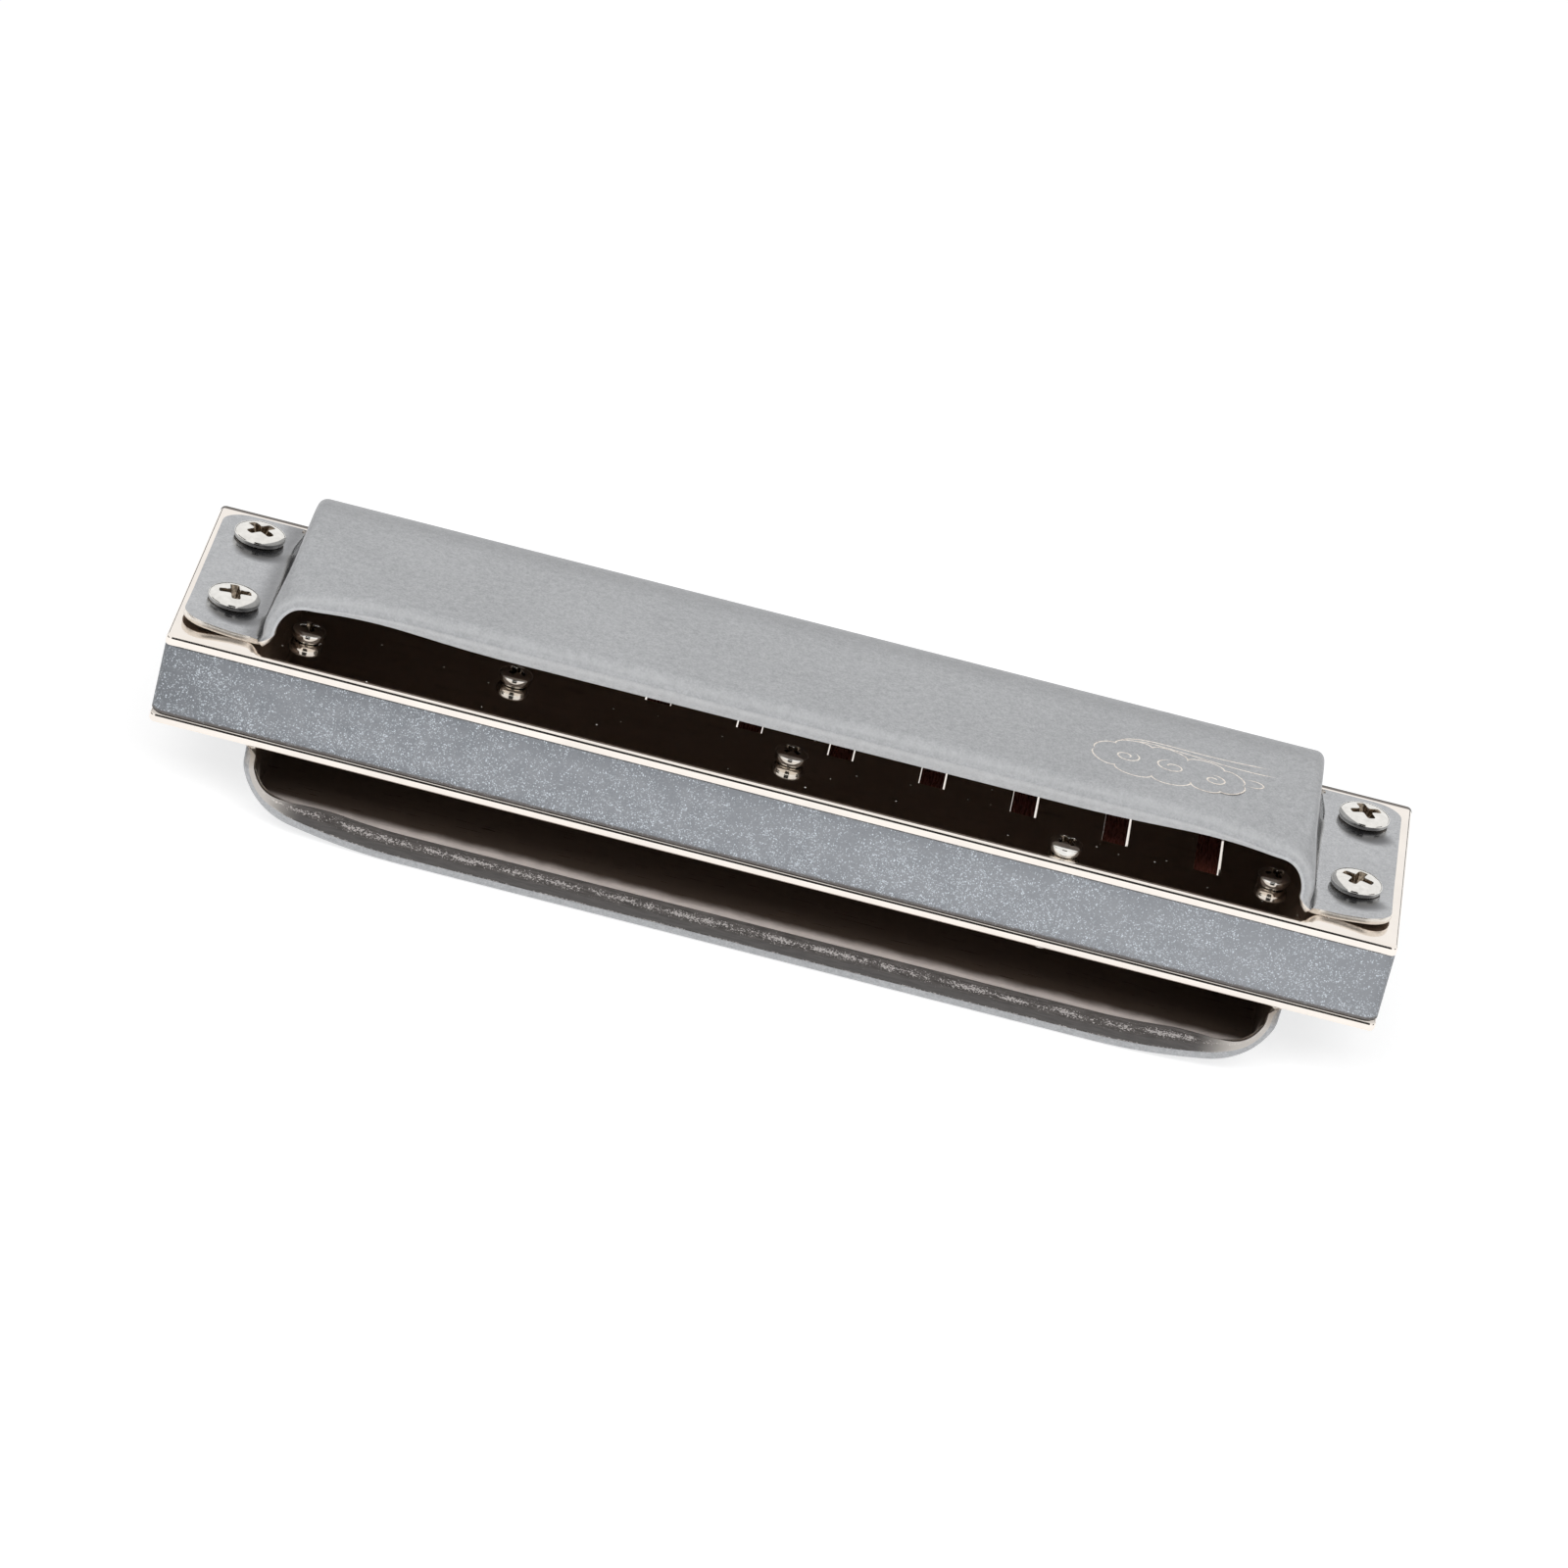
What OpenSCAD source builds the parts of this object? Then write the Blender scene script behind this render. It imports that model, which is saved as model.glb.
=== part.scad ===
// Ten-hole diatonic harmonica, built as it comes apart on a bench: a comb, a blow and a draw reed plate
// with riveted reeds, two open-backed covers, the small screws that hold the plates and the bolts and
// nuts that hold the covers.
// Origin under the middle of the part, on the crown of the lower cover. +Z is up, +X runs along the
// length towards hole 1 (the lowest note), the mouth holes face +Y and the open backs face -Y.

/* [Comb] */
// Length of the comb and the reed plates past the stretch that the holes share, at each end
end_l = 12; // [11:0.5:16]
// Depth from the closed back to the mouth holes
comb_w = 26.5; // [26:0.5:30]
// Height of the comb between the reed plates
comb_h = 5.8; // [5.4:0.1:8]
// Rounding of the four upright edges of the comb
comb_edge_r = 1.2; // [0.6:0.1:2]
// Distance from one hole to the next
pitch = 7.5; // [7.2:0.1:7.8]
// Width of one chamber
chamber_w = 5.5; // [5.2:0.1:5.7]
// Room in a chamber behind the rear end of its slot
chamber_room = 0.8; // [0.4:0.1:1]

/* [Reed plates] */
// Thickness of a reed plate
plate_t = 1; // [0.8:0.1:1.4]
// Bevel along the edges of a reed plate
plate_bevel = 0.3; // [0.1:0.05:0.35]
// Width of a reed slot
slot_w = 2.1; // [1.8:0.1:2.4]
// Distance from the back edge of a plate to the rear end of the slot of hole 1
slot_back = 4.6; // [4.4:0.1:5.5]
// Length of the slot of the last hole
slot_short = 8.5; // [7.5:0.1:10]
// How early the slots shorten from hole 1 to the last one, where 1 is evenly
slot_fall = 1.27; // [1:0.01:1.6]
// Distance from the front edge of a plate to the front ends of its slots
slot_front = 6.2; // [5.6:0.1:6.4]

/* [Reeds] */
// Thickness of a reed
reed_t = 0.2; // [0.15:0.01:0.3]
// Gap between a reed and each long side of its slot
reed_side_gap = 0.1; // [0.05:0.01:0.2]
// Gap between a reed and both ends of its slot
reed_end_gap = 0.1; // [0.05:0.01:0.3]
// Length of the foot that a reed is riveted by
foot_l = 3.4; // [2.8:0.1:3.6]
// Width of the foot
foot_w = 2.7; // [2.4:0.1:3.2]
// Radius of a rivet's shank
rivet_r = 0.4; // [0.3:0.05:0.5]
// Radius of a rivet's head
rivet_head_r = 0.75; // [0.6:0.05:1]
// Height of a rivet's head
rivet_head_h = 0.2; // [0.1:0.05:0.25]

/* [Covers] */
// Height of a cover's crown above its reed plate
crown_h = 6.95; // [6:0.05:9]
// Thickness of the sheet of a cover
sheet_t = 0.5; // [0.4:0.05:0.7]
// Distance from the end of a reed plate to the end wall of a cover, at the plate
tab_l = 7.35; // [7:0.05:7.6]
// How far an end wall leans in for each millimetre of its height
wall_lean = 0.15; // [0.05:0.01:0.2]
// Distance of a cover's open back in front of the comb's back
cover_back = 0.1; // [0:0.05:0.5]
// Distance of a cover's front foot behind the mouth holes
cover_front = 1.6; // [1.2:0.1:2.5]
// Depth of the flat part of the crown, from the open back
crown_flat = 13; // [11:0.5:14]
// Radius of the crown's slope down to the mouth
slope_r = 18; // [16:0.5:20]
// Radius of the nose where the slope meets the front foot
nose_r = 4.2; // [3.5:0.1:5]
// Radius of the crown's corners at the mouth side
corner_r = 1.5; // [1:0.1:2.5]
// Length of the shoulder that the open back's upper edge has at each end of its straight stretch
arch_run = 14.15; // [12:0.05:18]
// Radius of the long shoulders of the open back
arch_r = 46; // [44:0.5:50]
// Radius of the corners of the open back
arch_corner_r = 6; // [5:0.1:7]
// Angle at which those shoulders fade out towards the mouth side
arch_fade = 12; // [8:1:16]
// Depth of the lip that is folded down along the open back
lip_h = 2.15; // [1.5:0.05:2.25]
// Outer radius of the fold of the lip
lip_fold_r = 0.75; // [0.6:0.05:1]
// Radius of the bend from an end wall into its tab
foot_bend_r = 1.2; // [0.6:0.1:1.5]

/* [Cover tabs and bolts] */
// Distance of a tab's end inside the end of the reed plate
tab_end = 0.8; // [0.5:0.1:1.2]
// Distance of a tab's rear edge in front of the comb's back
tab_back = 1.75; // [1.2:0.05:2.5]
// Rounding of a tab's two outer corners
tab_corner_r = 2; // [1:0.1:2.5]
// Distance of the cover bolts from the ends of the reed plate
bolt_end = 4; // [3.8:0.1:4.2]
// Distance of the rear cover bolts from the comb's back
bolt_back = 7.6; // [6:0.1:8.5]
// Distance of the front cover bolts from the comb's back
bolt_front = 20.3; // [18:0.1:21]
// Radius of a cover bolt's shank
bolt_r = 1; // [0.8:0.05:1.1]
// Radius of a cover bolt's head
bolt_head_r = 2.1; // [1.8:0.05:2.2]
// Height of the straight rim of a cover bolt's head
bolt_rim_h = 0.6; // [0.4:0.05:0.8]
// Height of the dome on that rim
bolt_dome_h = 0.35; // [0.25:0.05:0.5]
// Width of a cover nut across its flats
nut_w = 4; // [3.6:0.1:4.2]
// Thickness of a cover nut
nut_h = 1.2; // [1:0.1:1.6]
// Length of a bolt's end that stands out of its nut
bolt_tip = 0.4; // [0.2:0.1:0.8]

/* [Reed plate screws] */
// Radius of a plate screw's shank
screw_r = 0.7; // [0.6:0.05:0.8]
// Radius of a plate screw's head
screw_head_r = 1.25; // [1.1:0.05:1.4]
// Height of the straight rim of a plate screw's head
screw_rim_h = 0.45; // [0.3:0.05:0.6]
// Height of the dome on that rim
screw_dome_h = 0.5; // [0.3:0.05:0.6]
// Length of a screw's end that stands out under the lower plate
screw_tip = 0.4; // [0.2:0.05:0.5]
// Distance of the two end screws from the end wall of a cover
screw_in = 3.15; // [2.8:0.05:3.3]
// Distance of the rear screws from the comb's back
screw_back = 5.3; // [5:0.1:5.6]
// The same distance for the rear screw beside the longest reeds
screw_low_back = 1.6; // [1.5:0.1:2]
// Distance of the front screws from the comb's back
screw_front = 17.5; // [16.5:0.1:18]

/* [Fits] */
// Gap around a shank in its hole
shank_gap = 0.05; // [0.02:0.01:0.1]

/* [Cross recesses] */
// Width of one arm of the recess in a screw head, as a share of the head's radius
cross_w = 0.28; // [0.2:0.02:0.36]
// Length of one arm from end to end, as a share of the head's radius
cross_l = 1.3; // [1:0.05:1.5]
// Height of the recess's floor, as a share of the rim's height
cross_floor = 0.6; // [0.4:0.05:0.9]

/* [Hidden] */
$fn = 64;
HOLES = 10;
function reed_node(stem, i) = str(stem, i < 10 ? "0" : "", i);

// Heights of the stack, from the lower crown at z = 0
lower_plate_z = crown_h;
comb_z = lower_plate_z + plate_t;
upper_plate_z = comb_z + comb_h;
upper_face_z = upper_plate_z + plate_t;

// Places in the length and the depth
comb_l = HOLES * pitch + 2 * end_l;
body_half = comb_l / 2 - tab_l;
arch_flat = body_half - arch_run;
screw_end_x = body_half - screw_in;
slot_long = comb_w - slot_back - slot_front;
back_y = -comb_w / 2;
front_y = comb_w / 2;
slot_front_y = front_y - slot_front;
bolt_x = comb_l / 2 - bolt_end;
bolt_y = [back_y + bolt_back, back_y + bolt_front];
cover_depth = comb_w - cover_back - cover_front;

// Reach of a cutting solid past the face that it cuts, and the overlap of two solids that become one
cut = 1;
join = 0.1;

function hole_x(i) = ((HOLES + 1) / 2 - i) * pitch;
function slot_l(i) = slot_short + (slot_long - slot_short) * pow((HOLES - i) / (HOLES - 1), slot_fall);
function slot_rear_y(i) = slot_front_y - slot_l(i);

// The rear screws stand at both ends and in the comb's solid back beside holes 2, 5 and 8, and the front
// ones in the walls between the chambers: [x, y]. The rear screw beside hole 8 stands deeper than the others
wall_x = 3 * pitch;
screw_high_back = screw_back + 1.6;
screw_places = [
    [screw_end_x, back_y + screw_back],
    [wall_x, back_y + screw_low_back],
    [0, back_y + screw_back],
    [-wall_x, back_y + screw_high_back],
    [-screw_end_x, back_y + screw_back],
    [wall_x, back_y + screw_front],
    [0, back_y + screw_front],
    [-wall_x, back_y + screw_front]];

// Places and ways of extruding that several pieces share
module at_bolts() for (sx = [-1, 1], y = bolt_y) translate([sx * bolt_x, y, 0]) children();
module at_screws() for (p = screw_places) translate([p[0], p[1], 0]) children();
module along_x(l) rotate([90, 0, 90]) linear_extrude(l, center = true) children();
module along_y(y0, y1) translate([0, y1, 0]) rotate([90, 0, 0]) linear_extrude(y1 - y0) children();
module both_ends() {
    children();
    mirror([1, 0, 0]) children();
}

// Rectangle with its four corners rounded, made of squares and circles
module round_rect(l, w, r) {
    square([l - 2 * r, w], center = true);
    square([l, w - 2 * r], center = true);
    for (sx = [-1, 1], sy = [-1, 1]) translate([sx * (l / 2 - r), sy * (w / 2 - r)]) circle(r);
}

// Comb with its chambers open to the front, the top and the bottom
module comb_body() {
    difference() {
        translate([0, 0, comb_z]) linear_extrude(comb_h) round_rect(comb_l, comb_w, comb_edge_r);
        for (i = [1 : HOLES]) chamber(i);
        translate([0, 0, comb_z - cut]) {
            at_bolts() cylinder(comb_h + 2 * cut, r = bolt_r + shank_gap);
            at_screws() cylinder(comb_h + 2 * cut, r = screw_r + shank_gap);
        }
    }
}

module chamber(i) {
    y = slot_rear_y(i) - chamber_room;
    translate([hole_x(i) - chamber_w / 2, y, comb_z - cut])
        cube([chamber_w, front_y - y + cut, comb_h + 2 * cut]);
}

// Outline of a plate's thickness across a width w, with bevelled edges
module bevelled(w) {
    h = w / 2;
    b = plate_bevel;
    polygon([[-h, b], [-h + b, 0], [h - b, 0], [h, b],
             [h, plate_t - b], [h - b, plate_t], [-h + b, plate_t], [-h, plate_t - b]]);
}

// Reed plate from z, with its slots, rivet holes at the given end of the slots and screw holes
module reed_plate(z, rivets_in_front) {
    translate([0, 0, z]) difference() {
        intersection() {
            along_x(comb_l) bevelled(comb_w);
            along_y(back_y, front_y) bevelled(comb_l);
        }
        translate([0, 0, -cut]) {
            for (i = [1 : HOLES]) {
                translate([hole_x(i) - slot_w / 2, slot_rear_y(i), 0])
                    cube([slot_w, slot_l(i), plate_t + 2 * cut]);
                translate([hole_x(i), rivet_y(i, rivets_in_front), 0])
                    cylinder(plate_t + 2 * cut, r = rivet_r + shank_gap);
            }
            at_bolts() cylinder(plate_t + 2 * cut, r = bolt_r + shank_gap);
            at_screws() cylinder(plate_t + 2 * cut, r = screw_r + shank_gap);
        }
    }
}

// A reed's root is the end of its slot that its foot lies beside
function root_y(i, in_front) = in_front ? slot_front_y : slot_rear_y(i);
function rivet_y(i, in_front) = root_y(i, in_front) + (in_front ? 1 : -1) * foot_l / 2;

// Riveted foot of reed i, lying on the plate from z upwards
module reed_foot(i, z, in_front) {
    translate([hole_x(i), rivet_y(i, in_front), z]) difference() {
        translate([-foot_w / 2, -foot_l / 2, 0]) cube([foot_w, foot_l, reed_t]);
        translate([0, 0, -cut]) cylinder(reed_t + 2 * cut, r = rivet_r + shank_gap);
    }
}

// Swinging tongue of reed i, over its slot
module reed_tongue(i, z) {
    translate([hole_x(i) - slot_w / 2 + reed_side_gap, slot_rear_y(i) + reed_end_gap, z])
        cube([slot_w - 2 * reed_side_gap, slot_l(i) - 2 * reed_end_gap, reed_t]);
}

// Rivet of reed i, whose foot lies from z upwards: its head under the foot, its shank up through the plate
module rivet(i, z, in_front) {
    translate([hole_x(i), rivet_y(i, in_front), z - rivet_head_h]) {
        cylinder(rivet_head_h, r = rivet_head_r);
        cylinder(rivet_head_h + reed_t + plate_t, r = rivet_r);
    }
}

// Low dome of radius r and height h over a straight rim, with a cross recess
module pan_head(r, rim_h, dome_h) {
    ball_r = (r * r + dome_h * dome_h) / (2 * dome_h);
    arm = [cross_l * r, cross_w * r, rim_h + dome_h];
    difference() {
        union() {
            cylinder(rim_h, r = r);
            intersection() {
                translate([0, 0, rim_h + dome_h - ball_r]) sphere(ball_r);
                translate([0, 0, rim_h]) cylinder(dome_h + cut, r = r);
            }
        }
        for (a = [0, 90]) rotate([0, 0, a])
            translate([-arm[0] / 2, -arm[1] / 2, cross_floor * rim_h]) cube(arm);
    }
}

// Bolt or screw with the underside of its head at z
module headed(z, r, l, head_r, rim_h, dome_h) {
    translate([0, 0, z]) pan_head(head_r, rim_h, dome_h);
    translate([0, 0, z - l]) cylinder(l, r = r);
}

// Right half of an arch: flat top, long shoulder, tight corner and an upright side, down to z = 0
module half_arch(reach, top, flat, shoulder_r, tight_r) {
    tight_x = reach - tight_r;
    rise = sqrt(pow(shoulder_r - tight_r, 2) - pow(tight_x - flat, 2));
    tight_z = top - shoulder_r + rise;
    join_x = flat + shoulder_r * (tight_x - flat) / (shoulder_r - tight_r);
    intersection() {
        square([reach, top]);
        union() {
            intersection() {
                union() {
                    square([flat, top]);
                    translate([flat, top - shoulder_r]) circle(shoulder_r, $fn = 180);
                }
                square([join_x, top]);
            }
            translate([tight_x, tight_z]) circle(tight_r);
            translate([0, -top]) square([reach, top + tight_z]);
        }
    }
}

// Section of a cover across its depth, from its open back at 0 to its front foot
module depth_section(inset) {
    fold_r = lip_fold_r - inset;
    top = crown_h - inset;
    intersection() {
        half_arch(cover_depth - inset, top, crown_flat, slope_r - inset, nose_r - inset);
        union() {
            translate([inset + fold_r, 0]) square([comb_w, crown_h]);
            translate([inset, 0]) square([comb_w, top - fold_r]);
            translate([inset + fold_r, top - fold_r]) circle(fold_r);
        }
    }
}

// Right half of a cover's section across its length at the mouth side: leaning wall, small corner
module half_end_section(inset) {
    lean = atan(wall_lean);
    r = corner_r - inset;
    top = crown_h - inset;
    foot_x = body_half - inset / cos(lean);
    cz = top - r;
    cx = foot_x - cz * wall_lean - r / cos(lean);
    polygon([[0, 0], [foot_x, 0], [cx + r * cos(lean), cz + r * sin(lean)], [cx, top], [0, top]]);
    translate([cx, cz]) circle(r);
}

// Solid form of a cover above its plate at z = 0, drawn in by inset
module cover_form(inset) {
    y0 = back_y + cover_back;
    intersection() {
        translate([0, y0, 0]) along_x(comb_l) depth_section(inset);
        along_y(back_y - cut, front_y) both_ends() half_end_section(inset);
        translate([0, y0, 0]) rotate([arch_fade, 0, 0]) along_y(-comb_w, 2 * comb_w) both_ends() {
            half_arch(body_half - inset, crown_h - inset, arch_flat, arch_r - inset, arch_corner_r - inset);
            translate([0, -comb_w]) square([body_half - inset, comb_w + join]);
        }
    }
}

// Opening of a cover's back, under the folded lip
module back_opening() {
    both_ends() half_arch(
        body_half - sheet_t, crown_h - lip_h, arch_flat, arch_r, arch_corner_r - sheet_t);
}

// Right tab and the bend that joins it to its end wall
module cover_tab() {
    y0 = back_y + tab_back;
    y1 = front_y - cover_front;
    end_x = comb_l / 2 - tab_end;
    start_x = body_half - sheet_t;
    r = tab_corner_r;
    linear_extrude(sheet_t) {
        translate([start_x, y0]) square([end_x - start_x - r, y1 - y0]);
        translate([start_x, y0 + r]) square([end_x - start_x, y1 - y0 - 2 * r]);
        for (y = [y0 + r, y1 - r]) translate([end_x - r, y]) circle(r);
    }
    b = foot_bend_r;
    along_y(y0, y1 - nose_r) difference() {
        translate([start_x, sheet_t / 2]) square([sheet_t + b, b + sheet_t / 2]);
        translate([body_half + b, sheet_t + b]) circle(b);
        translate([body_half - (b + sheet_t) * wall_lean, sheet_t + b]) square([2 * b, b]);
    }
}

// Cover over a plate whose outer face is z = 0: a hollow sheet form open at the back and below
module cover() {
    difference() {
        union() {
            cover_form(0);
            both_ends() cover_tab();
        }
        translate([0, 0, -join]) cover_form(sheet_t);
        cover_form(sheet_t);
        along_y(back_y - cut, back_y + cover_back + lip_fold_r) back_opening();
        at_bolts() translate([0, 0, -cut]) cylinder(sheet_t + 2 * cut, r = bolt_r + shank_gap);
    }
}

module comb() color([0.58, 0.60, 0.62]) comb_body();
module blow_reed_plate() color([0.86, 0.84, 0.80]) reed_plate(upper_plate_z, true);
module draw_reed_plate() color([0.86, 0.84, 0.80]) reed_plate(lower_plate_z, false);
module upper_cover() color([0.62, 0.63, 0.65]) translate([0, 0, upper_face_z]) cover();
module lower_cover() color([0.62, 0.63, 0.65]) translate([0, 0, lower_plate_z]) mirror([0, 0, 1]) cover();

module cover_bolts() color([0.88, 0.87, 0.84]) at_bolts() {
    l = upper_face_z + sheet_t - (lower_plate_z - sheet_t - nut_h - bolt_tip);
    headed(upper_face_z + sheet_t, bolt_r, l, bolt_head_r, bolt_rim_h, bolt_dome_h);
}

module cover_nuts() color([0.82, 0.81, 0.78]) at_bolts()
    translate([0, 0, lower_plate_z - sheet_t - nut_h]) difference() {
        cylinder(nut_h, r = nut_w / 2 / cos(30), $fn = 6);
        translate([0, 0, -cut]) cylinder(nut_h + 2 * cut, r = bolt_r + shank_gap);
    }

module reed_plate_screws() color([0.88, 0.87, 0.84]) at_screws()
    headed(upper_face_z, screw_r, upper_face_z - lower_plate_z + screw_tip,
           screw_head_r, screw_rim_h, screw_dome_h);

// Blow reeds hang under the upper plate with their feet in front, draw reeds under the lower plate with
// their feet behind
blow_z = upper_plate_z - reed_t;
draw_z = lower_plate_z - reed_t;

module blow_reed_feet() color([0.78, 0.62, 0.35]) for (i = [1 : HOLES]) reed_foot(i, blow_z, true);
module draw_reed_feet() color([0.78, 0.62, 0.35]) for (i = [1 : HOLES]) reed_foot(i, draw_z, false);
module blow_reed_rivets() color([0.80, 0.66, 0.40]) for (i = [1 : HOLES]) rivet(i, blow_z, true);
module draw_reed_rivets() color([0.80, 0.66, 0.40]) for (i = [1 : HOLES]) rivet(i, draw_z, false);
module blow_reed(i) color([0.74, 0.54, 0.28]) reed_tongue(i, blow_z);
module draw_reed(i) color([0.74, 0.54, 0.28]) reed_tongue(i, draw_z);

comb();
blow_reed_plate();
draw_reed_plate();
upper_cover();
lower_cover();
cover_bolts();
cover_nuts();
reed_plate_screws();
blow_reed_feet();
draw_reed_feet();
blow_reed_rivets();
draw_reed_rivets();
for (i = [1 : HOLES]) {
    blow_reed(i);
    draw_reed(i);
}
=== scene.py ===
import math

import bmesh
import bpy
import numpy as np
from bpy.props import FloatProperty, FloatVectorProperty, IntProperty, PointerProperty
from mathutils import Matrix, Vector


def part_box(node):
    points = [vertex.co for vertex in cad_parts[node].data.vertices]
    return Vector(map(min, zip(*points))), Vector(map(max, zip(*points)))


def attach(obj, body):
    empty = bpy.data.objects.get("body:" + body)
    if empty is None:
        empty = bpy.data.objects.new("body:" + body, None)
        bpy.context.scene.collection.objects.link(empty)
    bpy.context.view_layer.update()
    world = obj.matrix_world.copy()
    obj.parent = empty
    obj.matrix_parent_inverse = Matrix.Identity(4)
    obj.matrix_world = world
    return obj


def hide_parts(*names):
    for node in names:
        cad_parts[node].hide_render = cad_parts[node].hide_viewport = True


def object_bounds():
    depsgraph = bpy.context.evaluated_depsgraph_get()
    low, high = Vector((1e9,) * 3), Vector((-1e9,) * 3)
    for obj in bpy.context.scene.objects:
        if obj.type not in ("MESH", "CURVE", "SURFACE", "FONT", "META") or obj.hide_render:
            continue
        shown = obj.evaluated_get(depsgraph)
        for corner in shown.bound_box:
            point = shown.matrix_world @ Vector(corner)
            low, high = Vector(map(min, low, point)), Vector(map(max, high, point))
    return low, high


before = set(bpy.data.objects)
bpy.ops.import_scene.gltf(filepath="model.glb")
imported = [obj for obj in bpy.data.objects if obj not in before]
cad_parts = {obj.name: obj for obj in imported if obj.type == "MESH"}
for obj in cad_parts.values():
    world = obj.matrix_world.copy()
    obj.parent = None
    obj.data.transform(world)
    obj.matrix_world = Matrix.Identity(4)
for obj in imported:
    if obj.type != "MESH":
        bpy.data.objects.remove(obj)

bl_info = {
    "name": "Diatonic harmonica",
    "version": (1, 0, 0),
    "blender": (4, 5, 0),
    "location": "3D View > Sidebar > Harmonica",
    "description": "Dresses the packed harmonica with sheet covers, screws, finishes and a stage",
    "category": "Object",
}

MM = 0.001
CAD_BOX = [list(corner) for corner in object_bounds()]
LOW, HIGH = (np.array(corner) for corner in CAD_BOX)
HALF_LENGTH = HIGH[0]
REAR = LOW[1]
FRONT = HIGH[1]
UPPER_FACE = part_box("blow_reed_plate")[1].z
LOWER_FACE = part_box("draw_reed_plate")[0].z
MIDDLE = (UPPER_FACE + LOWER_FACE) / 2
HOLES = 10


# Sizes and colours that a user would change

def length(name, text, value, least=0.0):
    """A length property in metres from a value in millimetres."""
    return FloatProperty(
        name=name, description=text, default=value * MM, min=least, unit="LENGTH", precision=5)


def angle(name, text, value):
    """An angle property from a value in degrees."""
    return FloatProperty(name=name, description=text, default=math.radians(value), unit="ROTATION")


def share(name, text, value):
    """A plain number from 0 upwards."""
    return FloatProperty(name=name, description=text, default=value, min=0)


def colour(name, text, value):
    """A colour property."""
    return FloatVectorProperty(
        name=name, description=text, default=value, size=3, min=0, max=1, subtype="COLOR")


class CoverSizes(bpy.types.PropertyGroup):
    """Sizes of the two sheet covers"""
    sheet: length("Sheet", "Thickness of the sheet", 0.5)
    crown: length("Crown height", "Height of the crown above its reed plate", 6.95)
    body_half: length("Upper half body", "Half the length between the upper end walls at the plate", 42.15)
    lower_half: length("Lower half body", "Half the length between the lower end walls at the plate", 42.02)
    lean: share("Wall lean", "How far an end wall leans in for each unit of its height", 0.15)
    back: length("Back edge", "Distance of the open back in front of the comb's back", 0.1)
    front: length("Front foot", "Distance of the front foot behind the mouth holes", 1.6)
    flat: length("Flat crown", "Depth of the flat part of the crown", 13)
    slope_radius: length("Slope radius", "Radius of the slope down to the mouth", 18)
    nose_radius: length("Nose radius", "Radius of the nose at the mouth", 4.2)
    corner_radius: length("Corner radius", "Radius of the crown's corners at the mouth side", 0.8)
    arch_flat: length("Upper arch flat", "Half the straight stretch of the upper open back's edge", 30.5)
    lower_flat: length("Lower arch flat", "Half the straight stretch of the lower open back's edge", 28)
    arch_radius: length("Arch shoulder", "Radius of the long shoulders of the open back", 46)
    arch_corner: length("Upper arch corner", "Radius of the corners of the upper cover's open back", 4)
    lower_corner: length("Lower arch corner", "Radius of the corners of the lower cover's open back", 6)
    fold_radius: length("Upper lip radius", "Outer radius of the upper cover's folded lip", 0.85)
    lower_fold: length("Lower lip radius", "Outer radius of the lower cover's folded lip", 0.75)
    fold_angle: angle("Lip angle", "Angle that the lip is folded through", 114)
    flange: length("Upper lip flange", "Length of the upper cover's lip past its fold", 1.35)
    lower_flange: length("Lower lip flange", "Length of the lower cover's lip past its fold", 1.55)
    flange_run: length("Upper lip run", "Length over which the upper cover's lip grows from the corner", 20)
    lower_run: length("Lower lip run", "Length over which the lower cover's lip grows from the corner", 9)
    arch_run: length("Arch run", "Depth over which the open back's arch changes to the mouth side's shape", 7)
    upper_shift: length("Upper shift", "How far the upper cover sits off centre", -0.13, least=-1)
    lower_shift: length("Lower shift", "How far the lower cover sits off centre", 0.27, least=-1)
    foot_bend: length("Foot bend", "Radius of the bend from an end wall into its upper tab", 1.2)
    lower_bend: length("Lower foot bend", "Radius of the same bend on the lower cover", 0.6)
    tab_end: length("Tab end", "Distance of a tab's end inside the end of the plate", 0.8)
    tab_back: length("Tab back", "Distance of a tab's rear edge in front of the comb's back", 1.75)
    tab_front: length("Tab front", "Distance of a tab's front edge behind the front foot", 0.6)
    tab_corner: length("Tab corner", "Rounding of a tab's outer corners", 2)
    tab_lift: length("Tab lift", "How far a tab's rear outer corner springs off the plate", 0.34)


class PlateSizes(bpy.types.PropertyGroup):
    """Sizes of the reed plates' edges"""
    edge: length("Rounded edge", "Radius of the rounding along the upper edges", 0.46)
    corner: length("Corner", "Rounding of the plate's corners, seen from above", 0.5)
    burr: length("Blow plate's lower edge", "Radius of the blow plate's lower edges", 0.22)
    lower_burr: length("Draw plate's lower edge", "Radius of the draw plate's lower edges", 0.36)
    slot_edge: length("Slot edge", "Width of the broken edges of slots and holes", 0.02)


class ScrewSizes(bpy.types.PropertyGroup):
    """Sizes of the bolts, plate screws and nuts"""
    bolt_head: length("Bolt head", "Radius of a cover bolt's head", 2.1)
    bolt_height: length("Bolt head height", "Height of a cover bolt's head", 1.0)
    bolt_waist: length("Bolt waist", "Height of the head's widest place", 0.50)
    bolt_shank: length("Bolt shank", "Radius of a bolt's shank", 1)
    screw_head: length("Screw head", "Radius of a plate screw's head", 1.36)
    screw_height: length("Screw head height", "Height of a plate screw's head", 1.2)
    screw_waist: length("Screw waist", "Height of the head's widest place", 0.76)
    screw_shank: length("Screw shank", "Radius of a plate screw's shank", 0.7)
    nut_width: length("Nut width", "Width of a nut across its flats", 4)
    steps: IntProperty(name="Steps round", description="Points round a head", default=96, min=24)


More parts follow.
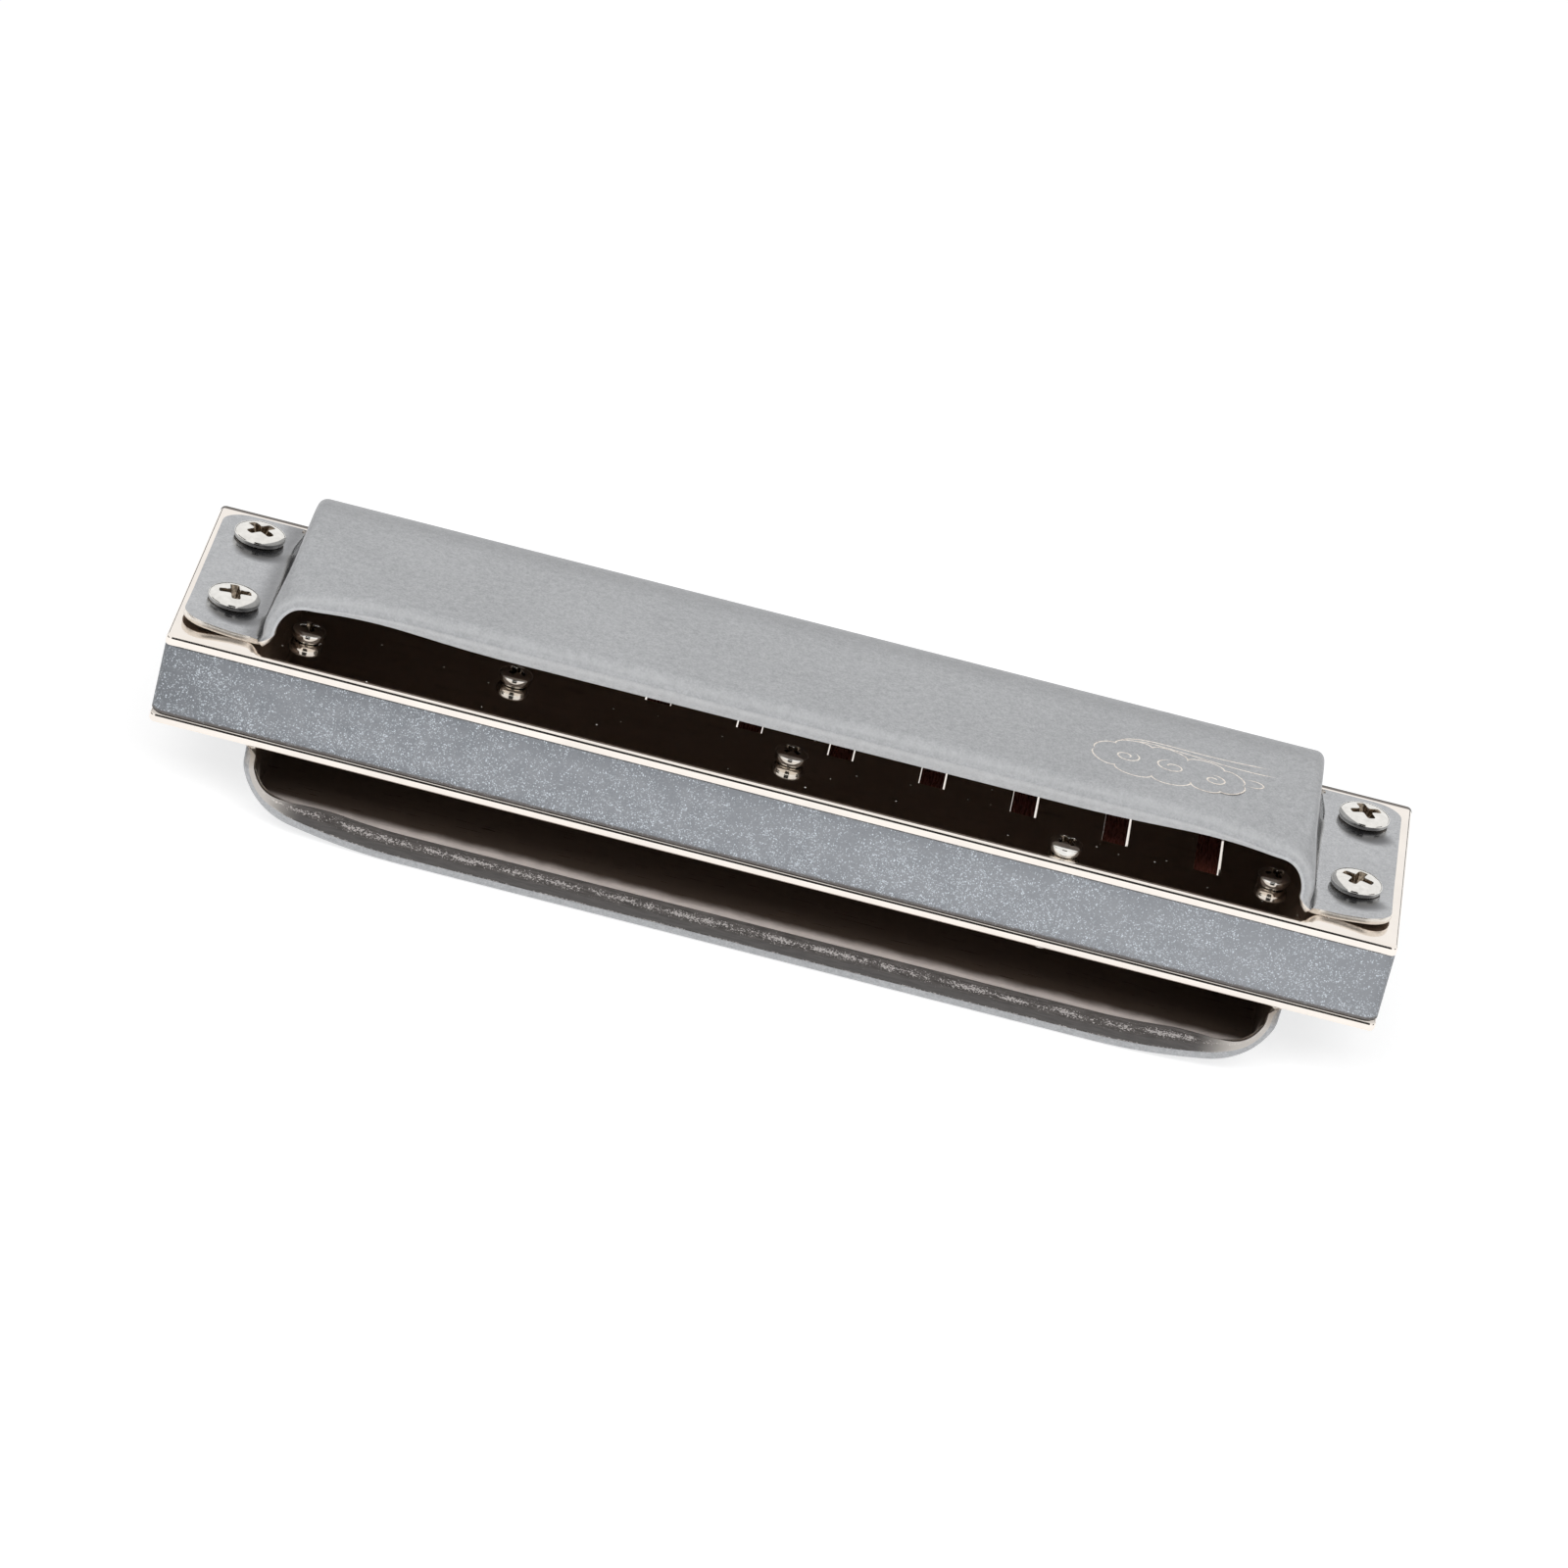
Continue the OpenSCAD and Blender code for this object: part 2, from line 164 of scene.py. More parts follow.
class FinishColours(bpy.types.PropertyGroup):
    """Colours of the finishes, and the lighter or darker tone that each one varies to"""
    satin: colour("Satin steel", "Outside of the covers", (0.358, 0.364, 0.375))
    satin_light: colour("Satin steel, light", "Paler grain of the covers", (0.506, 0.512, 0.523))
    lip: colour("Rough lip", "Folded lip of the lower cover, scraped and dull", (0.088, 0.080, 0.076))
    inner: colour("Inner steel", "Inside of the covers near the open back", (0.84, 0.765, 0.73))
    # The deep tone is painted shade inside the covers.
    inner_deep: colour("Inner steel, deep", "Inside of the covers towards the mouth", (0.25, 0.185, 0.145))
    cut_edge: colour("Cut edge", "Bare edge of the sheet", (0.88, 0.82, 0.75))
    nickel: colour("Plate nickel", "Polished nickel of the reed plates", (0.93, 0.865, 0.80))
    # A dark line painted on the plates: painted reflection along the mouth side, painted shade along the
    # comb.
    tarnish: colour("Tarnish", "Dull line along the mouth side of the reed plates", (0.105, 0.088, 0.078))
    bright: colour("Screw nickel", "Polished nickel of screws, bolts and nuts", (0.86, 0.84, 0.80))
    # The recess tone is painted shade: dark nickel for the cross recesses and the under side of the bolt
    # heads.
    recess: colour("Recess", "Worn, oily nickel in the cross recesses", (0.13, 0.105, 0.08))
    comb: colour("Comb", "Grey moulding of the comb", (0.234, 0.250, 0.272))
    comb_light: colour("Comb, light", "Paler clouds in the comb's moulding", (0.350, 0.361, 0.385))
    fleck: colour("Fleck", "Metal flakes in the comb's moulding", (0.86, 0.93, 1.0))
    # Bronze colour, darkened as painted shade for the reeds inside the cover.
    bronze: colour("Reed bronze", "Reeds and their feet", (0.30, 0.088, 0.062))
    rivet: colour("Rivet brass", "Rivets", (0.78, 0.58, 0.28))
    engraving: colour("Engraving", "Thin lines cut through the satin finish", (1.0, 0.92, 0.82))


class StageValues(bpy.types.PropertyGroup):
    """Camera and light"""
    elevation: angle("Elevation", "Camera's height above the horizon", 25.19)
    turn: angle("Turn", "Camera's turn round the upright axis", 0.12)
    roll: angle("Roll", "Camera's roll", 14.24)
    distance: length("Distance", "Camera's distance from its target", 708.1)
    target: FloatVectorProperty(
        name="Target", description="Point in the middle of the picture", default=(-0.03 * MM, 0, 9.07 * MM),
        size=3, unit="LENGTH", precision=5)
    lens: FloatProperty(name="Lens", description="Focal length in millimetres", default=204.6, min=1)
    sky: share("Sky level", "Light of the surroundings on dull surfaces", 0.42)
    floor_glow: share("Floor glow", "Share of the floor's white that a shadow can't darken", 0.68)
    key: FloatProperty(
        name="Key", description="Power of the long soft lamp behind the camera", default=5.2, min=0,
        unit="POWER")


# Surfaces worked out on grids

def smooth(t):
    """0 below 0, 1 above 1, and 3 t squared less 2 t cubed between."""
    t = np.clip(t, 0, 1)
    return t * t * (3 - 2 * t)


def steps(count, last=False):
    """count even steps from 0 towards 1, with 1 itself only if last."""
    return np.linspace(0, 1, count + (1 if last else 0), endpoint=last)


def grid_faces(rows, columns, closed=False):
    """Four-sided faces of a grid, with its last column joined to its first if closed."""
    row = np.arange(rows - 1)[:, None] * columns
    here = np.arange(columns if closed else columns - 1)
    there = (here + 1) % columns
    corners = [row + here, row + there, row + columns + there, row + columns + here]
    return np.stack(np.broadcast_arrays(*corners), -1).reshape(-1, 4)


def unit_rows(a):
    """Vectors along the last axis, each divided by its own length."""
    return a / np.maximum(np.linalg.norm(a, axis=-1, keepdims=True), 1e-12)


def placed(name, data):
    """A new object of the scene with this data."""
    piece = bpy.data.objects.new(name, data)
    bpy.context.scene.collection.objects.link(piece)
    return piece


def stand_in(piece, node):
    """Hides the CAD node whose place the piece takes."""
    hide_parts(node)


class Patches:
    """Collects grids into one mesh with a finish for each grid, and keeps a mark at each point."""

    def __init__(self):
        self.points, self.faces, self.slots, self.marks, self.count = [], [], [], [], 0

    def add(self, points, faces, slot=0, mark=None):
        """Adds points of any grid shape and the faces between them, with one slot or one for each face."""
        points = np.asarray(points, float).reshape(-1, 3)
        faces = np.asarray(faces)
        self.points.append(points)
        self.faces += (faces + self.count).tolist()
        self.slots.append(np.zeros(len(faces), int) + slot)
        self.marks.append(np.zeros(len(points)) if mark is None else np.asarray(mark, float).ravel())
        self.count += len(points)

    def tube(self, rings, slots):
        """Adds closed rings, from the top down, and closes both ends with a point in the middle."""
        rows, columns = rings.shape[:2]
        here = np.arange(columns)
        there = (here + 1) % columns
        first, last = rows * columns, rows * columns + 1
        low = (rows - 1) * columns
        caps = np.concatenate([np.stack([here, there, 0 * here + first], -1),
                               np.stack([low + there, low + here, 0 * here + last], -1)])
        start = self.count
        self.add(np.concatenate([rings.reshape(-1, 3), rings[0].mean(0)[None], rings[-1].mean(0)[None]]),
                 grid_faces(rows, columns, closed=True)[:, ::-1], np.repeat(slots, columns))
        self.faces += (caps + start).tolist()
        self.slots.append(np.repeat([slots[0], slots[-1]], columns))

    def build(self, name, finishes, sharp=38):
        """Makes the object, gives it its finishes and lets it ride on the body."""
        mesh = bpy.data.meshes.new(name)
        mesh.from_pydata(np.concatenate(self.points).tolist(), [], self.faces)
        for finish in finishes:
            mesh.materials.append(finish)
        mesh.polygons.foreach_set("material_index", np.concatenate(self.slots).astype(np.int32))
        # The bend mark: wear, with painted sheen on the lips and a painted highlight along the corners.
        mark = mesh.attributes.new("bend", "FLOAT", "POINT")
        mark.data.foreach_set("value", np.concatenate(self.marks).astype(np.float32))
        mesh.shade_smooth()
        mesh.set_sharp_from_angle(angle=math.radians(sharp))
        if mesh.validate():
            raise RuntimeError(f"{name}: the mesh had faces that don't hold")
        piece = placed(name, mesh)
        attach(piece, "body")
        return piece


# Finishes

def sum_of(way, turned=False):
    """A method of Value that adds the node for one sum, its two numbers the other way round if turned."""
    def method(self, other=0.0):
        return self.nodes.math(way, other, self) if turned else self.nodes.math(way, self, other)
    return method


class Value:
    """A number that nodes work out. Each sum with it adds the node that works the sum out."""
    __add__, __sub__, __rsub__ = sum_of("ADD"), sum_of("SUBTRACT"), sum_of("SUBTRACT", turned=True)
    __mul__, __truediv__, __pow__ = sum_of("MULTIPLY"), sum_of("DIVIDE"), sum_of("POWER")
    __lt__, __gt__, __abs__ = sum_of("LESS_THAN"), sum_of("GREATER_THAN"), sum_of("ABSOLUTE")

    def __init__(self, nodes, socket):
        self.nodes, self.socket = nodes, socket


class Nodes:
    """The node tree of a material or of the surroundings, filled from nothing."""

    def __init__(self, owner):
        owner.use_nodes = True
        self.tree = owner.node_tree
        self.tree.nodes.clear()

    def join(self, socket, value):
        """Sets a socket to a plain value or colour, or joins it to what another node works out."""
        if isinstance(value, Value):
            value = value.socket
        if isinstance(value, bpy.types.NodeSocket):
            self.tree.links.new(value, socket)
        elif socket.type == "RGBA":
            socket.default_value = (*value, 1)
        else:
            socket.default_value = value

    def node(self, kind, inputs=None, **settings):
        """A node with its settings and its inputs."""
        node = self.tree.nodes.new(kind)
        for key, value in settings.items():
            setattr(node, key, value)
        for key, value in (inputs or {}).items():
            self.join(node.inputs[key], value)
        return node

    def math(self, way, a, b=0.0):
        """One sum of plain numbers or values."""
        return Value(self, self.node("ShaderNodeMath", {0: a, 1: b}, operation=way).outputs[0])

    def seen(self):
        """1 for rays from the camera, from a reflection or through glass, and 0 for the rest."""
        path = self.node("ShaderNodeLightPath").outputs
        near = self.math("MAXIMUM", path["Is Camera Ray"], path["Is Glossy Ray"])
        return self.math("MAXIMUM", near, path["Is Transmission Ray"])


class Finish(Nodes):
    """A piece's material, with short calls for the nodes that finishes share."""

    def __init__(self, name, constants=None):
        self.material = bpy.data.materials.new(name)
        super().__init__(self.material)
        self.shader = self.node("ShaderNodeBsdfPrincipled", constants)
        self.node("ShaderNodeOutputMaterial", {"Surface": self.shader.outputs[0]})
        self.place = self.node("ShaderNodeTexCoord").outputs["Object"]

    def stretched(self, x, y, z):
        """Object coordinates, scaled along each axis."""
        return self.node("ShaderNodeMapping", {"Vector": self.place, "Scale": (x, y, z)}).outputs[0]

    def noise(self, size, detail, rough, place=None, bend=0.0):
        """Noise whose grains are about size metres wide."""
        return Value(self, self.node("ShaderNodeTexNoise", {
            "Vector": place or self.place, "Scale": 1 / size, "Detail": detail, "Roughness": rough,
            "Distortion": bend}).outputs["Fac"])

    def cells(self, size):
        """Distance from the middle of cells about size metres wide, and two chance numbers of each cell."""
        cell = self.node("ShaderNodeTexVoronoi", {"Vector": self.place, "Scale": 1 / size}).outputs
        own = self.node("ShaderNodeSeparateColor", {0: cell["Color"]}).outputs
        return [Value(self, socket) for socket in (cell["Distance"], own[0], own[1])]

    def spread(self, value, low, high, to_low=0.0, to_high=1.0, soft=False):
        """value from low to high, spread from to_low to to_high."""
        return Value(self, self.node("ShaderNodeMapRange", {
            "Value": value, "From Min": low, "From Max": high, "To Min": to_low, "To Max": to_high},
            interpolation_type="SMOOTHSTEP" if soft else "LINEAR").outputs["Result"])

    def mix(self, amount, a, b):
        """Two colours mixed by amount."""
        return self.node("ShaderNodeMix", {0: amount, 6: a, 7: b}, data_type="RGBA").outputs[2]

    def axis(self, letter):
        """One of the object coordinates, in metres."""
        return Value(self, self.node("ShaderNodeSeparateXYZ", {0: self.place}).outputs[letter])

    def bend(self):
        """How far a place of the sheet is rubbed, with painted sheen and highlight on the lip and the
        corners: the mark that the mesh keeps at its points.
        """
        return Value(self, self.node("ShaderNodeAttribute", attribute_name="bend").outputs["Fac"])

    def bump(self, height, distance, strength, under=None):
        """A bumped normal of that height in metres, on another one if given."""
        inputs = {"Height": height, "Distance": distance, "Strength": strength}
        if under is not None:
            inputs["Normal"] = under
        return self.node("ShaderNodeBump", inputs).outputs["Normal"]

    def end(self, color, roughness, normal=None, metallic=None):
        """Joins what it is given to the shader's own sockets and returns the material."""
        given = {"Base Color": color, "Roughness": roughness, "Normal": normal, "Metallic": metallic}
        for key, value in given.items():
            if value is not None:
                self.join(self.shader.inputs[key], value)
        return self.material


def toned(colour, factor):
    """A colour made lighter or darker by a factor."""
    return tuple(min(1, part * factor) for part in colour)


def satin_steel(c):
    """Blasted steel: even grain in two sizes, pale where a bend has rubbed and where the mark paints sheen,
    smooth on the tabs.

    Behind each bolt head a dark oval is painted reflection of the head, and a strip of painted shade runs
    along the left end wall.
    """
    f = Finish("satin_steel")
    grain = f.noise(0.17 * MM, 4, 0.65)
    mottle = f.noise(0.62 * MM, 3, 0.5)
    cloud = f.noise(9 * MM, 2, 0.5, bend=0.4)
    tone = grain * 0.62 + mottle * 0.26 + cloud * 0.12
    base = f.mix(f.spread(tone, 0.38, 0.62), c.satin, c.satin_light)
    bend = f.bend()
    # Painted sheen: the bend mark makes the sheet pale, as wear and as painted highlight and reflection on
    # the lip and the corners.
    pale = abs(bend) * f.spread(mottle, 0.35, 0.62, 0.85, 1.0)
    worn = f.math("MAXIMUM", bend, 0)
    base = f.mix(pale * 0.75, base, (0.68, 0.685, 0.69))
    tab = f.spread(abs(f.axis("Z") - MIDDLE), 4.7 * MM, 5.4 * MM, 1, 0)
    # Painted reflection: a dark oval on the tab behind each bolt head, where the head is mirrored.
    for x, y in bolt_places():
        side = (f.axis("X") - (x + 0.5 * MM)) / (2.2 * MM)
        back = (f.axis("Y") - (y - 2.6 * MM)) / (1.6 * MM)
        painted_head_reflection = f.spread(side * side + back * back, 0.2, 1.3, 0.9, 0, soft=True)
        base = f.mix(tab * painted_head_reflection, base, (0.065, 0.065, 0.07))
    # Painted shade: a darker strip on the left tab along its end wall.
    strip = f.spread(f.axis("X"), -44.4 * MM, -42.8 * MM, 0, 0.65, soft=True) \
        * f.spread(f.axis("X"), -42.1 * MM, -41.7 * MM, 1, 0)
    base = f.mix(tab * strip, base, (0.12, 0.12, 0.125))
    rough = f.spread(tone, 0.38, 0.68, 0.48, 0.40) + worn * 0.2 - tab * 0.32
    normal = f.bump(grain, 0.010 * MM, 0.6)
    return f.end(base, rough, normal, f.spread(worn, 0, 1, 0.86, 0.36))


def scraped_lip(c):
    """Lip of the lower cover: dark dull steel with file streaks and a line of painted glints in its middle.

    The bend mark runs across the lip here, from 0 at its free edge. Towards the end walls it gets bright.
    """
    f = Finish("scraped_lip", {"Metallic": 0.8})
    streak = f.noise(0.14 * MM, 3, 0.6, place=f.stretched(0.10, 1, 1))
    blot = f.noise(0.9 * MM, 4, 0.65, place=f.stretched(0.5, 1, 1))
    glint = f.noise(0.10 * MM, 3, 0.7, place=f.stretched(0.6, 1, 1))
    across = f.bend()
    # Painted glints: bright, smoother spots painted into the colour, thickest along the lip's middle.
    near = (1 - abs(across - 0.42) * 3.4) * f.spread(blot, 0.30, 0.58)
    painted_glints = f.spread(glint + near * 0.26, 0.66, 0.74)
    base = f.mix(f.spread(streak, 0.35, 0.68), c.lip, toned(c.lip, 1.8))
    base = f.mix(f.spread(across, 0.6, 0.8, 0, 0.5), base, (0.155, 0.150, 0.148))
    base = f.mix(painted_glints * 0.9, base, (0.78, 0.73, 0.71))
    ends = f.spread(abs(f.axis("X")), 36 * MM, 39.5 * MM, 0, 0.85, soft=True)
    base = f.mix(ends, base, (0.66, 0.62, 0.58))
    normal = f.bump(streak + painted_glints * 0.6, 0.02 * MM, 0.7)
    return f.end(base, f.spread(painted_glints, 0, 1, 0.52, 0.30), normal)


def inner_steel(c):
    """Inside of the sheet: dull pale steel near the open back, and brown painted shade from there to the
    mouth.

    Near the plates the walls have the painted shade too, and it is twice as dark in the lower cover.
    """
    f = Finish("inner_steel")
    streak = f.noise(0.2 * MM, 3, 0.6, place=f.stretched(0.06, 1, 1))
    blot = f.noise(2.4 * MM, 4, 0.6)
    depth = f.axis("Y") + blot * (0.8 * MM)
    crown = abs(f.axis("Z") - MIDDLE)
    # Painted light and shade: light is 1 in the lit band near the open back and falls to 0 deeper in, where
    # the painted shade takes over.
    light = f.spread(depth, REAR + 5.6 * MM, REAR + 7.3 * MM, 1, 0, soft=True) \
        * f.spread(crown, 7.4 * MM, 9.4 * MM)
    deep = 1 - light
    base = f.mix(f.spread(streak, 0.35, 0.65), c.inner, toned(c.inner, 1.12))
    base = f.mix(f.spread(blot, 0.40, 0.75) * 0.25, base, toned(c.inner, 0.6))
    # The painted shade's tone, twice as dark in the lower cover.
    film = f.mix(f.axis("Z") < MIDDLE, c.inner_deep, toned(c.inner_deep, 0.5))
    base = f.mix(deep, base, film)
    rough = f.spread(streak, 0.3, 0.7, 0.46, 0.58) - deep * 0.2
    normal = f.bump(streak, 0.004 * MM, 0.5)
    return f.end(base, rough, normal, f.spread(deep, 0, 1, 0.05, 0.30))


def cut_edge(c):
    """Sheared edge of the sheet: bright, with short cross scratches."""
    f = Finish("cut_edge", {"Metallic": 1.0})
    scratch = f.noise(0.12 * MM, 2, 0.6)
    base = f.mix(f.spread(scratch, 0.35, 0.7), c.cut_edge, toned(c.cut_edge, 0.84))
    normal = f.bump(scratch, 0.002 * MM, 0.5)
    return f.end(base, f.spread(scratch, 0.3, 0.7, 0.26, 0.40), normal)


def plate_nickel(c):
    """Polished nickel: slight waves, hair scratches, specks of dust, a dark line at the mouth side as painted
    reflection.

    The draw plate's rim is also darkened in its upper part, along the comb, as painted shade at the joint.
    """
    f = Finish("plate_nickel")
    wave = f.noise(6 * MM, 1, 0.4)
    hair = f.noise(0.1 * MM, 2, 0.5, place=f.stretched(1, 0.04, 1))
    tint = f.noise(4 * MM, 3, 0.55)
    base = f.mix(f.spread(tint, 0.3, 0.7), c.nickel, toned(c.nickel, 0.93))
    far, chance, size = f.cells(0.9 * MM)
    speck = (far < size * 0.10) * (chance > 0.62)
    base = f.mix(speck, base, (0.92, 0.90, 0.86))
    # Painted reflection: a dark line along the mouth side, where the edge mirrors the dark far side.
    painted_far_reflection = f.axis("Y") + tint * (0.10 * MM)
    painted_far_reflection = f.spread(painted_far_reflection, FRONT - 0.86 * MM, FRONT - 0.74 * MM) \
        * f.spread(painted_far_reflection, FRONT - 0.20 * MM, FRONT - 0.12 * MM, 1, 0.15)
    base = f.mix(painted_far_reflection * 0.95, base, c.tarnish)
    # Painted shade: the draw plate's rim darker in its upper part, at the joint with the comb.
    rim = f.math("MAXIMUM", abs(f.axis("Y")) - (FRONT - 0.6 * MM),
                 abs(f.axis("X")) - (HALF_LENGTH - 0.6 * MM))
    joint_shade = (rim > 0) * (f.axis("Z") < MIDDLE)
    joint_shade = joint_shade * f.spread(f.axis("Z"), LOWER_FACE + 0.74 * MM, LOWER_FACE + 0.86 * MM)
    base = f.mix(joint_shade * 0.35, base, c.tarnish)
    rough = f.spread(hair, 0.3, 0.7, 0.045, 0.085) + speck * 0.6 + painted_far_reflection * 0.22
    normal = f.bump(hair, 0.0006 * MM, 0.3, under=f.bump(wave, 0.010 * MM, 0.25))
    return f.end(base, rough, normal, f.spread(speck, 0, 1, 1, 0))


def bright_nickel(c):
    """Polished screw nickel with tiny dents and hair lines."""
    f = Finish("bright_nickel", {"Metallic": 1.0})
    dent = f.noise(0.5 * MM, 2, 0.5)
    hair = f.noise(0.07 * MM, 2, 0.6)
    base = f.mix(f.spread(dent, 0.3, 0.7), c.bright, toned(c.bright, 0.86))
    return f.end(base, f.spread(hair, 0.3, 0.7, 0.07, 0.16), f.bump(dent, 0.010 * MM, 0.35))


def shaded_recess_nickel(c):
    """Pressed cross recess, and the under side of the bolt heads: nickel darkened as painted shade, duller,
    with lighter blots.
    """
    f = Finish("shaded_recess_nickel", {"Metallic": 1.0})
    blot = f.noise(0.25 * MM, 3, 0.6)
    base = f.mix(f.spread(blot, 0.40, 0.62), c.recess, toned(c.recess, 2.6))
    return f.end(base, f.spread(blot, 0.3, 0.7, 0.34, 0.14), f.bump(blot, 0.02 * MM, 0.5))


def flake_moulding(c):
    """Grey moulding with metal flakes in three sizes, in clusters that thicken downwards, under a satin skin.

    It is darker near its edges, with painted shade under the blow plate, and paler towards its right end as
    painted light. A line of painted shade runs along its foot at the joint with the draw plate.
    """
    f = Finish("flake_moulding", {"Specular IOR Level": 0.42})
    cloud = f.noise(2.2 * MM, 4, 0.6)
    fine = f.noise(0.11 * MM, 3, 0.65)
    patch = f.noise(4.5 * MM, 2, 0.5)
    cluster = f.noise(0.7 * MM, 2, 0.6)
    base = f.mix(f.spread(cloud * 0.45 + fine * 0.55, 0.36, 0.64), c.comb, c.comb_light)
    # Painted shade: darker just under the blow plate; the foot and the ends are darker too.
    top = f.spread(f.axis("Z"), UPPER_FACE - 2.6 * MM, UPPER_FACE - 1.0 * MM, 0, 0.5, soft=True)
    foot = f.spread(f.axis("Z"), LOWER_FACE + 1.0 * MM, LOWER_FACE + 2.1 * MM, 0.5, 0, soft=True)
    ends = f.spread(abs(f.axis("X")), HALF_LENGTH - 11 * MM, HALF_LENGTH, 0, 0.55, soft=True)
    dark = f.math("MAXIMUM", f.math("MAXIMUM", top, foot), ends)
    base = f.mix(dark, base, toned(c.comb, 0.70))
    # Painted light: paler towards the right end.
    base = f.mix(f.spread(f.axis("X"), -HALF_LENGTH, HALF_LENGTH, 0, 0.5), base, toned(c.comb_light, 1.22))
    more = f.spread(f.axis("Z"), LOWER_FACE, UPPER_FACE, 0.12, -0.06) \
        + f.spread(patch, 0.35, 0.65, -0.10, 0.10) + f.spread(cluster, 0.38, 0.62, -0.14, 0.14)
    flakes = None
    for size, reach, rare in ((0.10 * MM, 0.58, 0.74), (0.15 * MM, 0.50, 0.83), (0.24 * MM, 0.34, 0.93)):
        far, chance, shine = f.cells(size)
        glint = (chance + more > rare) * f.spread(far, reach, reach * 0.6) * shine ** 1.25
        flakes = glint if flakes is None else f.math("MAXIMUM", flakes, glint)
    base = f.mix(flakes * 0.95, base, c.fleck)
    # Painted shade: a dark line along the foot at the joint with the draw plate.
    joint_shade = f.spread(f.axis("Z"), LOWER_FACE + 1.14 * MM, LOWER_FACE + 1.30 * MM, 0.8, 0)
    base = f.mix(joint_shade, base, (0.105, 0.084, 0.070))
    return f.end(base, f.spread(flakes, 0, 1, 0.50, 0.26), f.bump(fine, 0.010 * MM, 0.5), flakes * 0.25)


def filed_metal(name, tone, across, along):
    """Rolled strip metal with file marks and a film of oil: streaks drawn out along one axis."""
    f = Finish(name, {"Metallic": 0.45})
    mark = f.noise(0.12 * MM, 3, 0.6, place=f.stretched(across, along, 1))
    blot = f.noise(1.2 * MM, 3, 0.55)
    base = f.mix(f.spread(mark, 0.3, 0.7), tone, toned(tone, 0.86))
    base = f.mix(f.spread(blot, 0.45, 0.75) * 0.4, base, toned(tone, 0.5))
    return f.end(base, f.spread(mark, 0.3, 0.7, 0.20, 0.36), f.bump(mark, 0.004 * MM, 0.5))


def engraved_line(c):
    """Bright metal laid bare in the thin lines, duller here and there."""
    f = Finish("engraved_line", {"Metallic": 0.05})
    gap = f.noise(0.35 * MM, 3, 0.6)
    base = f.mix(f.spread(gap, 0.42, 0.66), c.engraving, (0.62, 0.55, 0.50))
    return f.end(base, f.spread(gap, 0.3, 0.7, 0.35, 0.55))


# Covers

TAB_COLUMNS, BEND_COLUMNS, WALL_COLUMNS, CORNER_COLUMNS, SHOULDER_COLUMNS, FLAT_COLUMNS = 16, 9, 9, 14, 16, 15
CROWN_ROWS, SLOPE_ROWS, NOSE_ROWS, FOLD_ROWS, FLANGE_ROWS, LIP_ROWS, EDGE_ROWS = 22, 12, 12, 14, 7, 2, 5
FOOT_FLAT = 1.2 * MM                 # how far the end wall stops behind the front foot
WALL_TURN = 0.42                     # share of the arch corner's turn that the wall's columns take
BEND_FROM, BEND_LOSS = 18 * MM, 0.7  # depth from which the foot bend gets tighter, and the share it loses
LEAST_LIP = 0.08 * MM                # the lip's length at the end walls
TURN_END, TURN_RUN = 41.2 * MM, 3 * MM    # x at which the lip has lost a quarter of its turn, and the stretch
LIP_END = 42.5 * MM                  # x at which it has lost nine tenths of its length
LIFT_X, LIFT_X_RUN = 44 * MM, 4.5 * MM    # x from which a tab's rear corner springs up, and the stretch
LIFT_D, LIFT_D_RUN = 9 * MM, 7 * MM       # depth up to which it does, and the stretch
# How far each row of the upper lip is rubbed, from its free edge on: above 0 wear with painted sheen, below 0
# only a painted pale reflection, no wear.
UPPER_RUB_AND_SHEEN = ((0, 2, 3.5, 4.6, 6, 7, 8, 9.5, 11, 12.5, 14, 16.4, 18, 20),
             (-0.6, -0.6, -0.5, -0.9, -0.8, -0.4, 0.1, 0.3, 0.5, 0.85, 0.6, 0.3, 0.2, 0.1))


def touching_arcs(crown, flat, wide, tight, reach):
    """The tight arc that takes over from a wide arc, which leaves the flat crown, and ends upright at reach.

    Returns its middle, along the crown and in height, and the turn at which the two arcs meet.
    """
    along = reach - tight
    height = crown - wide + math.sqrt((wide - tight) ** 2 - (along - flat) ** 2)
    return along, height, math.asin((along - flat) / (wide - tight))


